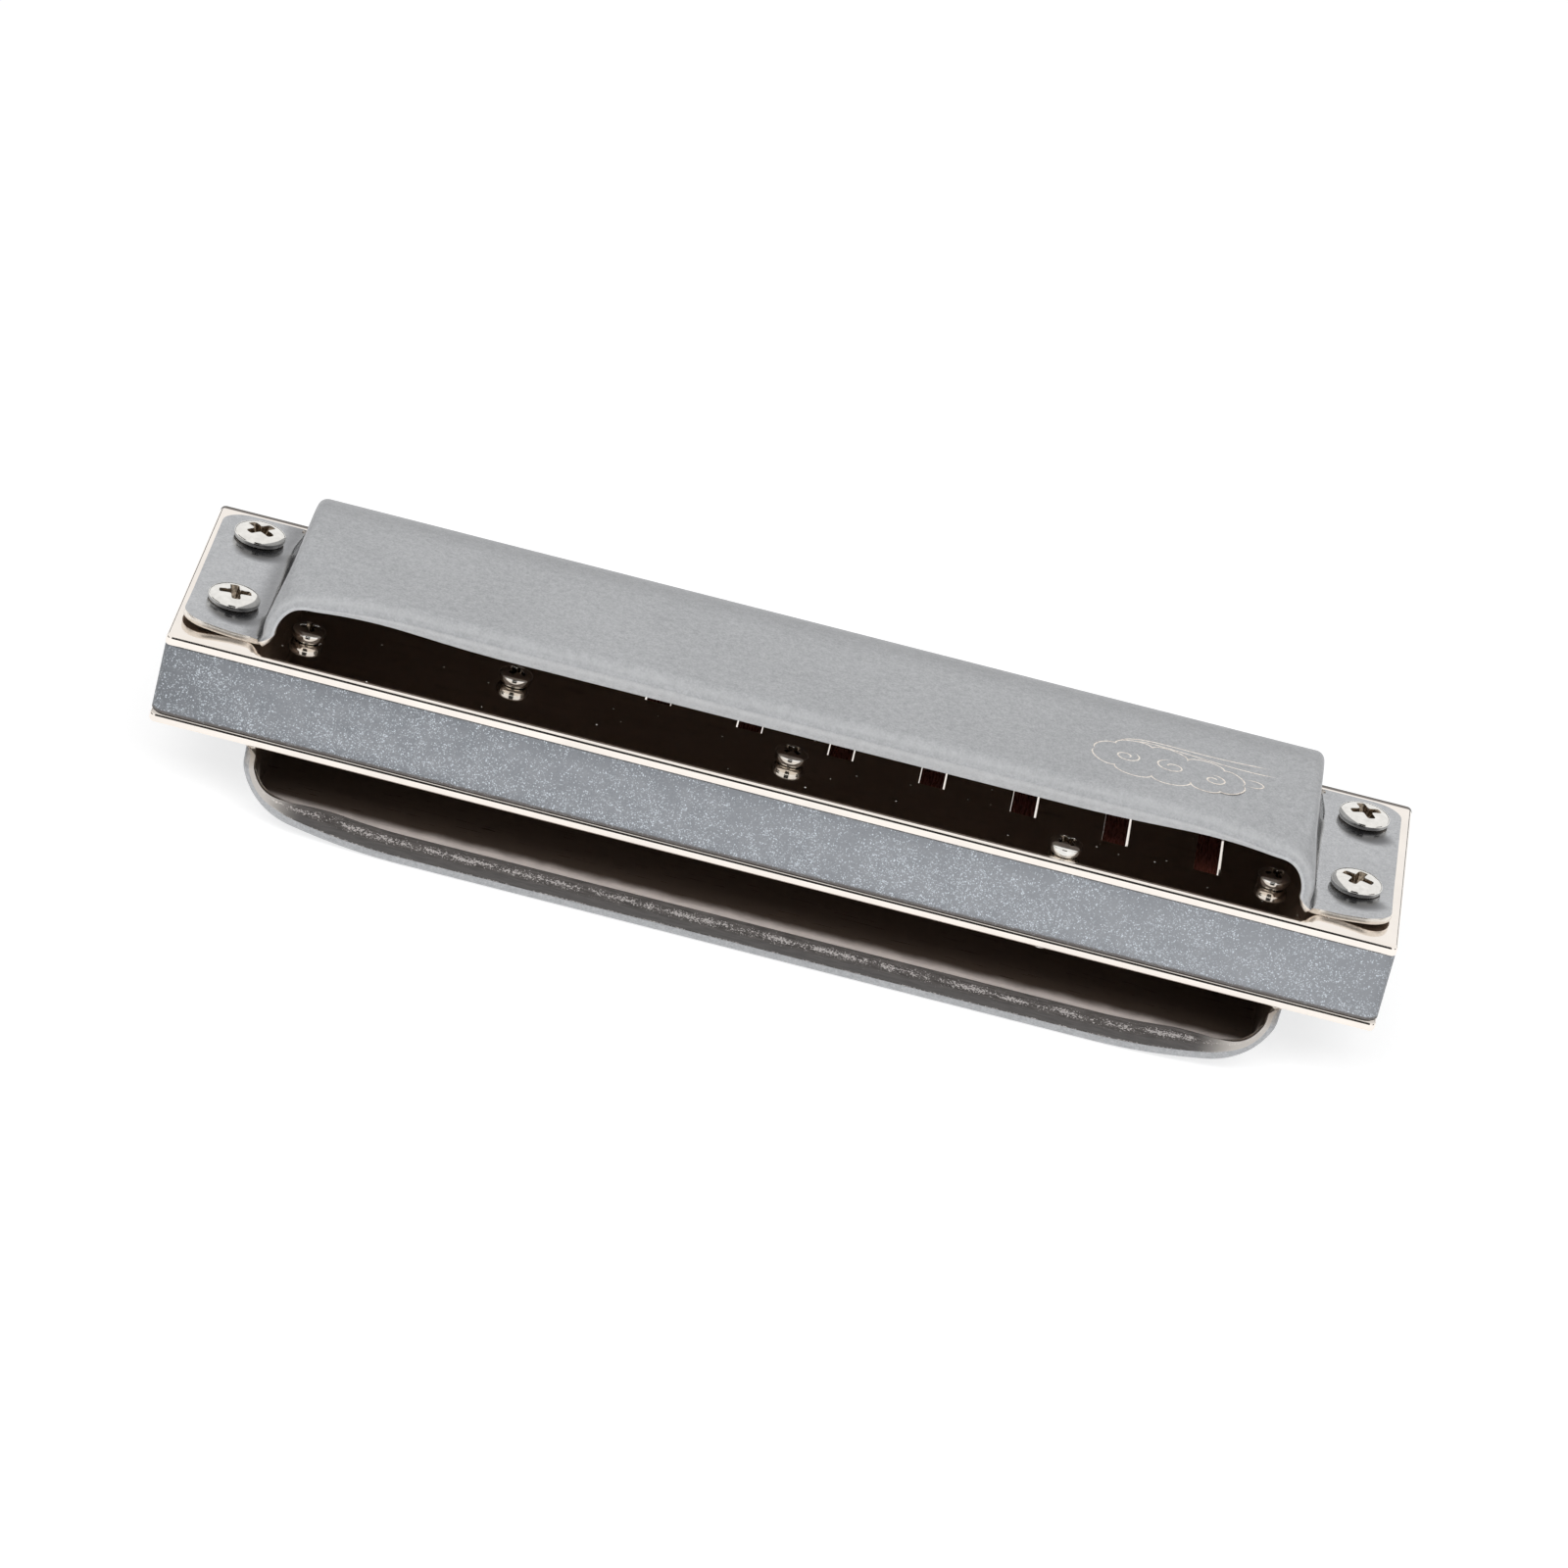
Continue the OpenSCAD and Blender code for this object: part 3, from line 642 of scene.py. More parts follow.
def cover_columns(c, half, foot_bend, arch_flat, arch_corner, top_reach, blend):
    """Half of a cover's rows from the bend's top to the middle: half width x and distance a above the bend.

    Mouth side: a wall that leans in, a corner circle of the corner radius that touches it, and a straight
    line to the middle, at the distance top_reach of the row. Open back: an arc of the arch corner's radius,
    then one of the arch's radius that touches it, then straight. blend goes from the second shape to the
    first. Both have the same counts of points, so that a row between them is the mean of the two.
    """
    lean = math.atan(c.lean)
    foot = c.sheet + foot_bend * (1 - math.sin(lean))
    bend_x = half - foot * c.lean
    up, round_corner, over = steps(WALL_COLUMNS), steps(CORNER_COLUMNS), steps(SHOULDER_COLUMNS)
    flat_x = arch_flat * (1 - steps(FLAT_COLUMNS - 1, last=True))

    radius = np.minimum(c.corner_radius, 0.85 * top_reach)
    centre_a = top_reach - radius
    centre_x = bend_x - c.lean * centre_a - radius / math.cos(lean)
    turn = lean + (math.pi / 2 - lean) * round_corner
    wall_end = centre_a + radius * math.sin(lean)
    front_x = np.concatenate([
        bend_x - c.lean * up * wall_end, centre_x + radius * np.cos(turn),
        centre_x + (arch_flat - centre_x) * over, flat_x + 0 * top_reach], 1)
    front_a = np.concatenate([
        up * wall_end, centre_a + radius * np.sin(turn), top_reach + 0 * over, top_reach + 0 * flat_x], 1)

    tight_x, tight_h, join = touching_arcs(c.crown, arch_flat, c.arch_radius, arch_corner, half)
    first = math.asin(max(-1, (foot - tight_h) / arch_corner))
    last = math.pi / 2 - join
    middle = first + WALL_TURN * (last - first)
    turn = np.concatenate([first + (middle - first) * up, middle + (last - middle) * round_corner])
    shoulder = last + join * over
    rear_x = np.concatenate([
        tight_x + arch_corner * np.cos(turn), arch_flat + c.arch_radius * np.cos(shoulder), flat_x])
    rear_a = np.concatenate([
        tight_h + arch_corner * np.sin(turn), c.crown - c.arch_radius + c.arch_radius * np.sin(shoulder),
        np.full(FLAT_COLUMNS, c.crown)]) - foot
    return (1 - blend) * rear_x + blend * front_x, (1 - blend) * rear_a + blend * front_a, bend_x


def crown_section(c, reach, middle, foot_end):
    """Rows of the crown past its flat part: depth and height in the middle, and the depth of their feet.

    The section is an arc of the slope's radius, then one of the nose's radius down to the plate. The feet
    stand along the end wall, up to foot_end.
    """
    tight_u, tight_h, join = touching_arcs(c.crown, c.flat, c.slope_radius, c.nose_radius, reach)
    slope = join * steps(SLOPE_ROWS)
    nose = join + (math.pi / 2 - join) * steps(NOSE_ROWS, last=True)
    section_d = np.concatenate([
        c.flat + c.slope_radius * np.sin(slope), tight_u + c.nose_radius * np.sin(nose), [reach]]) + c.back
    section_h = np.concatenate([
        c.crown - c.slope_radius * (1 - np.cos(slope)), tight_h + c.nose_radius * np.cos(nose), [0]])
    slope_last = middle + (c.slope_radius - c.crown) * math.tan(join)
    foot_d = np.concatenate([
        middle + (c.slope_radius - c.crown) * np.tan(slope),
        slope_last + (foot_end - slope_last) * steps(NOSE_ROWS + 1, last=True)])
    return section_d, section_h, foot_d


def lip_rows(fold, flange, bow):
    """The lip from its free edge up: distance behind the crown's rear edge, and below the outer face.

    Each column turns through its fold on an arc of the radius bow and goes on straight for its flange.
    """
    turned = fold * steps(FOLD_ROWS, last=True)[1:, None]
    past = flange * steps(FLANGE_ROWS, last=True)[1:, None]
    back, below = -bow * np.sin(turned), -bow * (1 - np.cos(turned))
    return (np.concatenate([back, back[-1] - past * np.cos(fold)])[::-1],
            np.concatenate([below, below[-1] - past * np.sin(fold)])[::-1])


def rubbed_marks(fold, rows, upper):
    """The bend mark of half a cover: wear and painted sheen on the lip's rows where it is folded, and a
    painted highlight line, partly wear, on the arch corner.
    """
    hem_rows = FOLD_ROWS + FLANGE_ROWS
    mark = np.zeros((rows, len(fold)))
    if upper:
        lip_rub_and_sheen = np.interp(np.arange(hem_rows), *UPPER_RUB_AND_SHEEN)
    else:
        lip_rub_and_sheen = np.concatenate([steps(FLANGE_ROWS), np.arange(FOLD_ROWS) < LIP_ROWS])
    mark[:hem_rows] = lip_rub_and_sheen[:, None] * (fold > 0.6)
    corner = TAB_COLUMNS + BEND_COLUMNS + WALL_COLUMNS
    # Painted highlight, partly wear: a pale line along the crown's corner.
    mark[hem_rows:, corner:corner + CORNER_COLUMNS] = 0.16 * np.sin(math.pi * steps(CORNER_COLUMNS)) ** 2
    return mark


def cover_half(c, upper):
    """Outer face of the half of a cover with x above 0, as rows from the lip's free edge to the front foot.

    Depth is measured from the comb's back and height from the plate. Each row starts on the tab, passes
    the foot bend, climbs the end wall and crosses the crown. The crown is flat, then follows its section. A
    wall point lies on the straight line from the bend's top to the section's point of its row. The lip leaves
    the crown's rear edge, and towards the end walls its angle and its length run out to almost nothing.
    """
    if upper:
        arch_flat, arch_corner, fold_radius = c.arch_flat, c.arch_corner, c.fold_radius
        flange_full, flange_run, wall, foot_bend = c.flange, c.flange_run, c.body_half, c.foot_bend
        first_h, climb_h = 0.9 * MM, 1.1 * MM
    else:
        arch_flat, arch_corner, fold_radius = c.lower_flat, c.lower_corner, c.lower_fold
        flange_full, flange_run, wall, foot_bend = c.lower_flange, c.lower_run, c.lower_half, c.lower_bend
        first_h, climb_h = 0.52 * MM, 0.8 * MM

    reach = FRONT - REAR - c.back - c.front
    middle = c.back + c.flat
    foot_end = reach + c.back - FOOT_FLAT
    section_d, section_h, foot_d = crown_section(c, reach, middle, foot_end)
    level = steps(CROWN_ROWS)
    late = (foot_d - middle) / (foot_end - middle)
    shrink = np.concatenate([np.zeros(CROWN_ROWS), smooth((foot_d - BEND_FROM) / (foot_end - BEND_FROM))])
    bend_r = foot_bend * (1 - BEND_LOSS * shrink)
    depth_guess = np.concatenate([c.back + fold_radius + level * (c.flat - fold_radius), foot_d])
    blend = smooth((depth_guess - c.back - fold_radius) / c.arch_run)[:, None]

    lean = math.atan(c.lean)
    foot_h = c.sheet + bend_r * (1 - math.sin(lean))
    top = np.concatenate([np.full(CROWN_ROWS, c.crown), section_h])
    along = np.stack([np.concatenate([np.zeros(CROWN_ROWS), section_d - foot_d]), top - foot_h], -1)
    top_reach = np.linalg.norm(along, axis=1)[:, None]
    along = along / top_reach
    x, a, bend_x = cover_columns(c, wall, foot_bend, arch_flat, arch_corner, top_reach, blend)

    bend_r = bend_r[:, None]
    bend_centre = x[:, :1] + bend_r * math.cos(lean)
    turn = np.radians(270) - (np.radians(90) - lean) * steps(BEND_COLUMNS)
    bend_h = c.sheet + bend_r + bend_r * np.sin(turn)
    tab_x_end = HALF_LENGTH - c.tab_end
    out = np.sin(math.pi / 2 * (1 - steps(TAB_COLUMNS)))
    full_x = np.concatenate([
        bend_centre + (tab_x_end - bend_centre) * out, bend_centre + bend_r * np.cos(turn), x], 1)

    on_tab = np.concatenate([np.ones(TAB_COLUMNS), 1 - smooth(steps(BEND_COLUMNS)), np.zeros(x.shape[1])])
    rear_x = full_x[0]
    rear_h = np.concatenate([np.full(TAB_COLUMNS, c.sheet), bend_h[0], foot_h[0] + a[0]])
    rounding = np.clip(rear_x - (tab_x_end - c.tab_corner), 0, c.tab_corner)
    rounding = c.tab_corner - np.sqrt(c.tab_corner ** 2 - rounding ** 2)
    climb = smooth((rear_h - first_h) / climb_h)
    inwards = smooth((TURN_END - rear_x) / TURN_RUN)
    grown = smooth((LIP_END - rear_x) / flange_run)
    fold = c.fold_angle * climb * (0.75 + 0.25 * inwards)
    flange = LEAST_LIP + (flange_full - LEAST_LIP) * climb * (0.10 + 0.90 * grown)
    safe = np.maximum(fold, 1e-4)
    bow = np.maximum(fold_radius * fold, 0.4 * MM) / safe
    out_reach = np.where(fold > math.pi / 2, bow, bow * np.sin(safe) + flange * np.cos(safe))
    relief = on_tab
    if not upper:
        relief = np.concatenate([np.ones(TAB_COLUMNS + BEND_COLUMNS), 1 - smooth(a[0] / (0.9 * MM))])
    start = c.back + (c.tab_back - c.back) * relief + rounding + out_reach
    front = on_tab * (reach + c.back - c.tab_front - rounding) + (1 - on_tab) * foot_end
    tab_middle = start + (middle - c.back - fold_radius) / (foot_end - c.back - fold_radius) * (front - start)
    mid = on_tab * tab_middle + (1 - on_tab) * middle
    depth = np.concatenate([start + level[:, None] * (mid - start), mid + late[:, None] * (front - mid)])
    height = np.concatenate([np.full((len(depth), TAB_COLUMNS), c.sheet), bend_h, foot_h[:, None] + 0 * x], 1)
    depth[:, TAB_COLUMNS + BEND_COLUMNS:] += along[:, :1] * a
    height[:, TAB_COLUMNS + BEND_COLUMNS:] += along[:, 1:] * a

    step_x, step_h = np.gradient(rear_x), np.gradient(height[0])
    size = np.hypot(step_x, step_h)
    normal_x, normal_h = step_h / size, -step_x / size
    hem_d, hem_n = lip_rows(fold, flange, bow)
    full_x = np.concatenate([rear_x + normal_x * hem_n, full_x])
    height = np.concatenate([height[0] + normal_h * hem_n, height])
    depth = np.concatenate([start + hem_d, depth])

    lift = smooth((full_x - LIFT_X) / LIFT_X_RUN) * smooth((LIFT_D - depth) / LIFT_D_RUN)
    height = height + (c.tab_lift * lift) * (full_x > bend_x)

    return np.stack([full_x, REAR + depth, height], -1), rubbed_marks(fold, len(depth), upper)


def closed_sheet(patches, grid, mark, thickness, flip):
    """Gives a grid its thickness: outer face, inner face along the normals, and a slightly round cut edge.

    Slot 0 is the outer face, 1 the inner one, 2 the edge and 3 the outer face of the lip. The edge strip
    runs from the outer face to the inner one on half an ellipse as high as a tenth of the thickness, which
    stands out on the upper cover and is hollow on the lower one, whose thickness is negative.
    """
    rows, columns = grid.shape[:2]
    across, along = np.gradient(grid, axis=1), np.gradient(grid, axis=0)
    inner = grid - unit_rows(np.cross(across, along)) * thickness
    faces = grid_faces(rows, columns)
    lip = np.where(np.arange(rows - 1) < FLANGE_ROWS + LIP_ROWS, 3, 0).repeat(columns - 1)
    patches.add(grid, faces[:, ::-1] if flip else faces, lip, mark)
    patches.add(inner, faces if flip else faces[:, ::-1], 1)
    loop = np.concatenate([
        np.arange(columns), columns * np.arange(1, rows) + columns - 1,
        (rows - 1) * columns + np.arange(columns - 2, -1, -1), columns * np.arange(rows - 2, 0, -1)])
    outward = np.concatenate([
        -unit_rows(along[0]), unit_rows(across[1:, -1]), unit_rows(along[-1, -2::-1]),
        -unit_rows(across[-2:0:-1, 0])])
    ring_out, ring_in = grid.reshape(-1, 3)[loop], inner.reshape(-1, 3)[loop]
    t = steps(EDGE_ROWS, last=True)[:, None, None]
    strip = ring_out + (ring_in - ring_out) * (1 - np.cos(math.pi * t)) / 2 \
        + outward * 0.1 * thickness * np.sin(math.pi * t)
    strip_faces = grid_faces(EDGE_ROWS + 1, len(loop), closed=True)
    patches.add(strip, strip_faces if flip else strip_faces[:, ::-1], 2)


def make_cover(name, node, c, finishes, upper):
    """Both halves of a cover as one grid, on its own side of the plates."""
    half, mark = cover_half(c, upper)
    grid = np.concatenate([half * np.array([-1, 1, 1]), half[:, -2::-1]], 1)
    mark = np.concatenate([mark, mark[:, -2::-1]], 1)
    if upper:
        grid = grid + np.array([c.upper_shift, 0, UPPER_FACE])
    else:
        grid = grid * np.array([1, 1, -1]) + np.array([c.lower_shift, 0, LOWER_FACE])
    patches = Patches()
    closed_sheet(patches, grid, mark, c.sheet if upper else -c.sheet, flip=not upper)
    stand_in(patches.build(name, finishes), node)


# Bolts, screws and nuts

CROSS_ARM, CROSS_WIDTH = 0.62, 0.17    # shares of the head's radius
CROSS_DEPTH = 0.72                     # share of its height
CROSS_FLOOR = ((0.25, 1.12), (0.60, 1.0), (0.70, 0.92), (0.90, 0.30))    # shares of the cross and its depth
CROSS_EDGE, CROSS_RIM, EDGE_DROP = 0.985, 1.02, 0.03 * MM    # the broken edge round the cross
CIRCLE_FROM = 0.84                     # share of the head's radius from which its rings are circles
LEAST_NECK, MOST_THREAD = 0.3 * MM, 3.2 * MM    # plain stretch of the shank, and the thread below it
RIDGE = 0.16                           # height of the thread's ridge, as a share of its pitch
THREAD_POINTS = 6                      # rings in one pitch
NUT_POINTS = 72


def cross_outline(count, arm, width):
    """Points of a plus sign round its middle, with arms from end to end and rounded corners.

    Each arm's tip is flat, so the distance at a turn t inside an arm is arm over cos t, and beside it width
    over sin t; the points are then smoothed round the loop.
    """
    fine = np.linspace(0, 2 * math.pi, 2880, endpoint=False)
    fold = np.abs((fine + math.pi / 4) % (math.pi / 2) - math.pi / 4)
    radius = np.where(np.tan(fold) * arm <= width, arm / np.cos(fold), width / np.maximum(np.sin(fold), 1e-6))
    points = np.stack([radius * np.cos(fine), radius * np.sin(fine)], -1)
    gap = np.linalg.norm(np.roll(points, -1, 0) - points, axis=1)
    place = np.concatenate([[0], np.cumsum(gap)])
    looped = np.concatenate([points, points[:1]])
    at = np.linspace(0, 2 * math.pi, count, endpoint=False) / (2 * math.pi) * place[-1]
    even = np.stack([np.interp(at, place, looped[:, k]) for k in (0, 1)], -1)
    for _ in range(3):
        even = (np.roll(even, 1, 0) + 2 * even + np.roll(even, -1, 0)) / 4
    return even


def screw_rings(z, head, height, waist, power, foot, film, shank, total, pitch, count, turn):
    """Rings of a screw from the recess's floor to the point, round the Z axis, and the slots between them.

    Above its waist the head's height at the distance r from the axis is the waist plus the rest of the
    height times the square root of 1 less r over head to the given power: 2 gives a round head, 4 a pan
    head. Below it a quarter ellipse draws in to foot times head, and from the angle film on it takes the
    recess finish, painted shade under the head. The cross recess narrows downwards. The thread's radius
    is the shank's less a ridge that climbs one pitch for each turn.
    """
    around = np.linspace(0, 2 * math.pi, count, endpoint=False)
    outline = cross_outline(count, CROSS_ARM * head, CROSS_WIDTH * head)
    first = math.atan2(outline[0, 1], outline[0, 0])
    circle = np.stack([np.cos(around + first), np.sin(around + first)], -1)
    rings, slots = [], []

    def add(points, level, slot=0):
        rings.append(np.concatenate([points, np.broadcast_to(level, (count,))[:, None]], -1))
        slots.append(slot)

    def dome(points):
        r = np.clip(np.linalg.norm(points, axis=1) / head, 0, 1)
        return z + waist + (height - waist) * np.sqrt(1 - r ** power)

    depth = CROSS_DEPTH * height
    for s, down in CROSS_FLOOR:
        add(outline * s, z + height - depth * down, 1)
    edge = outline * CROSS_EDGE
    add(edge, dome(edge) - EDGE_DROP)
    for t in (0, 0.08, 0.2, 0.35, 0.5, 0.65, 0.8, 1):
        points = outline * CROSS_RIM * (1 - t) + circle * head * CIRCLE_FROM * t
        add(points, dome(points))
    shoulder = math.asin(CIRCLE_FROM ** (power / 2))
    for a in shoulder + (math.pi / 2 - shoulder) * steps(8, last=True)[1:]:
        add(circle * head * math.sin(a) ** (2 / power), z + waist + (height - waist) * math.cos(a))
    # Under the head, past the angle film, the rings take the recess finish as painted shade.
    for a in np.radians(90) * steps(5, last=True)[1:]:
        add(circle * head * (foot + (1 - foot) * math.cos(a)), z + waist * (1 - math.sin(a)),
            1 if a > film else 0)
    threaded = min(total - LEAST_NECK, MOST_THREAD)
    top = z - total + threaded
    add(circle * shank * 1.1, z)
    add(circle * shank, z - 0.12 * MM)
    add(circle * shank, top)
    ridge = RIDGE * pitch
    for t in np.arange(1, round(threaded / pitch * THREAD_POINTS)):
        down = t * pitch / THREAD_POINTS
        wave = np.abs(((down / pitch + around / (2 * math.pi)) % 1) * 2 - 1)
        add(circle * (shank - ridge * smooth(wave))[:, None], top - down)
    add(circle * (shank - 1.3 * ridge), z - total)
    rings = np.stack(rings)
    c, s = math.cos(turn), math.sin(turn)
    rings[..., :2] = rings[..., :2] @ np.array([[c, s], [-s, c]])
    return rings, slots[:-1]


def make_screws(name, node, places, turns, **sizes):
    """All screws of a node as one piece, each with its cross turned its own way."""
    patches = Patches()
    for (x, y), turn in zip(places, turns):
        rings, slots = screw_rings(turn=math.radians(turn), **sizes)
        patches.tube(rings + np.array([x, y, 0]), slots)
    stand_in(patches.build(name, [shared(bright_nickel), shared(shaded_recess_nickel)]), node)


def bolt_places():
    """Axes of the four cover bolts, from the box of their node."""
    low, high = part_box("cover_bolts")
    r = bpy.context.scene.harmonica_screws.bolt_head
    return [(x, y) for x in (low.x + r, high.x - r) for y in (low.y + r, high.y - r)]


def screw_places():
    """Axes of the plate screws: middles of the heads, found from the node's points on their rims."""
    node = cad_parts["reed_plate_screws"]
    points = np.zeros(len(node.data.vertices) * 3)
    node.data.vertices.foreach_get("co", points)
    points = points.reshape(-1, 3)
    points = points[np.abs(points[:, 2] - UPPER_FACE) < 0.01 * MM]
    places = []
    while len(points):
        near = np.linalg.norm(points[:, :2] - points[0, :2], axis=1) < 3 * MM
        box = points[near, :2]
        places.append(tuple((box.min(0) + box.max(0)) / 2))
        points = points[~near]
    return sorted(places)


def hex_rings(z, width, height, bore):
    """Rings of a hexagon nut: bore, flat ring, 30 degree chamfer over the corners, sides, and back again."""
    t = np.linspace(0, 2 * math.pi, NUT_POINTS, endpoint=False)
    corner = width / 2 / np.cos((t + math.pi / 6) % (math.pi / 3) - math.pi / 6)
    face = 0.94 * width / 2
    drop = (corner - face) * math.tan(math.radians(30))
    return np.stack([
        np.stack([np.cos(t) * r, np.sin(t) * r, 0 * t + h], -1)
        for r, h in ((bore, z + 0.2 * MM), (bore * 1.15, z), (face, z), (corner, z + drop),
                     (corner, z + height - drop), (face, z + height), (bore * 1.15, z + height),
                     (bore, z + height - 0.2 * MM))])


# Reed plates

def rim_ring(inset, z, corner):
    """A rectangle inside the plate's outline by inset, with each corner an arc of six steps."""
    turn = np.radians(90) * steps(6, last=True)
    middle = np.array([HALF_LENGTH, FRONT]) - max(inset, corner)
    arc = middle + max(corner - inset, 0) * np.stack([np.cos(turn), np.sin(turn)], -1)
    loop = np.concatenate([arc, (arc * [-1, 1])[::-1], -arc, (arc * [1, -1])[::-1]])
    return np.concatenate([loop, np.full((len(loop), 1), z)], -1)


def rounded_plate(name, node, s, burr, finish):
    """A copy of a reed plate's solid whose outer edges are replaced by a rolled rim.

    The rim's section goes down from the flat top on a quarter circle, then straight, then round a small
    quarter circle to the flat underside. The edges of slots and holes are broken by a bevel.
    """
    low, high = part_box(node)
    shell = bmesh.new()
    shell.from_mesh(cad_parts[node].data)
    bmesh.ops.remove_doubles(shell, verts=shell.verts, dist=0.001 * MM)
    near = 0.35 * MM
    rim = [v for v in shell.verts if abs(v.co.x) > HALF_LENGTH - near or abs(v.co.y) > FRONT - near]
    outer = set(rim)
    walls = [f for f in shell.faces if abs(f.normal.z) < 0.99 and outer.issuperset(f.verts)]
    bmesh.ops.delete(shell, geom=walls, context="FACES")
    limit = np.array([HALF_LENGTH, FRONT]) - s.edge
    for v in (v for v in rim if v.is_valid):
        v.co.x = max(-limit[0], min(limit[0], v.co.x))
        v.co.y = max(-limit[1], min(limit[1], v.co.y))

    turn = np.radians(90) * steps(10, last=True)
    back = np.radians(90) * steps(3, last=True)
    insets = np.concatenate([s.edge * (1 - np.sin(turn)), burr * (1 - np.cos(back)), [s.edge]])
    heights = np.concatenate([
        high.z - s.edge * (1 - np.cos(turn)), low.z + burr * (1 - np.sin(back)), [low.z]])
    rings = np.stack([rim_ring(inset, z, s.corner) for inset, z in zip(insets, heights)])
    band = bpy.data.meshes.new(name + "_band")
    band.from_pydata(rings.reshape(-1, 3).tolist(), [],
                     grid_faces(len(rings), rings.shape[1], closed=True)[:, ::-1].tolist())
    shell.from_mesh(band)
    bpy.data.meshes.remove(band)
    bmesh.ops.remove_doubles(shell, verts=shell.verts, dist=0.002 * MM)
    bmesh.ops.dissolve_limit(shell, angle_limit=math.radians(0.4), verts=shell.verts, edges=shell.edges)
    bmesh.ops.recalc_face_normals(shell, faces=shell.faces)
    sharp = [e for e in shell.edges if e.calc_face_angle(0) > math.radians(60)]
    bmesh.ops.bevel(shell, geom=sharp, offset=s.slot_edge, offset_type="OFFSET", segments=2, profile=0.5,
                    affect="EDGES")
    for face in shell.faces:
        face.smooth = True
    for edge in shell.edges:
        level = [abs(face.normal.z) > 0.9999 for face in edge.link_faces]
        edge.smooth = not (any(level) and not all(level)) and edge.calc_face_angle(0) < math.radians(50)
    mesh = bpy.data.meshes.new(name)
    shell.to_mesh(mesh)
    shell.free()
    mesh.materials.append(finish)
    piece = placed(name, mesh)
    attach(piece, "body")
    stand_in(piece, node)


# Cloud scroll

PATH_POINTS, LOBE_POINTS, TAPER_POINTS = 70, 24, 6


def ribbon(patches, path, width, height, z):
    """A thin raised line: a low arch of the given width and height carried along a path in a level plane.

    Height over the path at the share u across the line is the height times 1 less u squared; both ends
    taper to a quarter.
    """
    tangent = unit_rows(np.gradient(path, axis=0))
    side = np.stack([-tangent[:, 1], tangent[:, 0]], -1)
    u = np.linspace(-1, 1, 5)
    place = np.arange(len(path))
    taper = np.clip(np.minimum(place, place[::-1]) / TAPER_POINTS, 0.25, 1)
    flat = path[:, None] + side[:, None] * (u[None, :, None] * width / 2 * taper[:, None, None])
    rise = z + height * (1 - u[None] ** 2) * taper[:, None]
    grid = np.concatenate([flat, rise[..., None]], -1)
    patches.add(grid, grid_faces(*grid.shape[:2])[:, ::-1])


def spiral(x, y, first, last, start, end, squash):
    """A spiral round x, y: its radius goes evenly from first to last as its turn goes from start to end."""
    t = np.radians(np.linspace(start, end, PATH_POINTS))
    r = np.linspace(first, last, PATH_POINTS)
    return np.stack([x + r * np.cos(t), y + squash * r * np.sin(t)], -1)


def flow(*corners, count=PATH_POINTS):
    """A smooth curve that the corners pull on, each with its binomial weight in t and 1 less t."""
    t = np.linspace(0, 1, count)[:, None]
    n = len(corners) - 1
    weights = np.concatenate([math.comb(n, k) * t ** k * (1 - t) ** (n - k) for k in range(n + 1)], 1)
    return weights @ np.array(corners, float)


def lobes(*corners, swell):
    """A scalloped line: half an ellipse from each corner to the next, swell times its half width high."""
    corners = np.array(corners, float)
    step = np.diff(corners, axis=0)[:, None]
    side = np.stack([step[..., 1], -step[..., 0]], -1)
    t = math.pi * steps(LOBE_POINTS)[None, :, None]
    path = corners[:-1, None] + step * (1 - np.cos(t)) / 2 + side * swell * np.sin(t) / 2
    return np.concatenate([path.reshape(-1, 2), corners[-1:]])


def cloud_paths():
    """A cloud scroll of the traditional kind, in millimetres from its lower left corner: 15 wide, 8 deep."""
    return [
        lobes((1.0, 3.4), (2.7, 1.3), (5.7, 0.9), (8.8, 1.5), (11.2, 1.2), (12.9, 3.3), swell=0.62),
        lobes((12.9, 3.3), (11.3, 5.1), (8.3, 5.3), (5.4, 6.0), (2.5, 5.2), (1.0, 3.4), swell=0.55),
        spiral(3.5, 3.4, 0.25, 1.15, -40, 420, 0.85),
        spiral(7.2, 3.5, 0.30, 1.35, 200, -260, 0.80),
        spiral(10.6, 3.0, 0.25, 1.05, 20, 470, 0.85),
        flow((2.6, 5.7), (4.2, 8.4), (8.4, 6.4), (11.4, 7.2), (14.8, 7.5)),
        flow((3.9, 6.5), (6.0, 7.2), (9.0, 6.2), (12.6, 5.8), (15.4, 6.3)),
        flow((13.3, 3.4), (14.5, 3.2), (15.2, 4.2), (14.2, 4.9), (13.1, 4.5), count=40),
    ]


# Operators

def shared(maker):
    """A finish that several pieces share, made once."""
    return bpy.data.materials.get(maker.__name__) or maker(bpy.context.scene.harmonica_colours)


def refinish(nodes, material):
    """Gives CAD nodes a finish in all their material slots."""
    for name in nodes:
        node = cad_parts[name]
        node.data.materials.clear()
        node.data.materials.append(material)


def glowing_white(name, tone, glow):
    """Dull surface that shows white to the camera and in reflections, and still takes a shadow."""
    material = bpy.data.materials.new(name)
    n = Nodes(material)
    dull = n.node("ShaderNodeBsdfDiffuse", {"Color": tone})
    light = n.node("ShaderNodeEmission", {"Strength": n.seen() * glow})
    both = n.node("ShaderNodeAddShader", {0: dull.outputs[0], 1: light.outputs[0]})
    n.node("ShaderNodeOutputMaterial", {"Surface": both.outputs[0]})
    return material


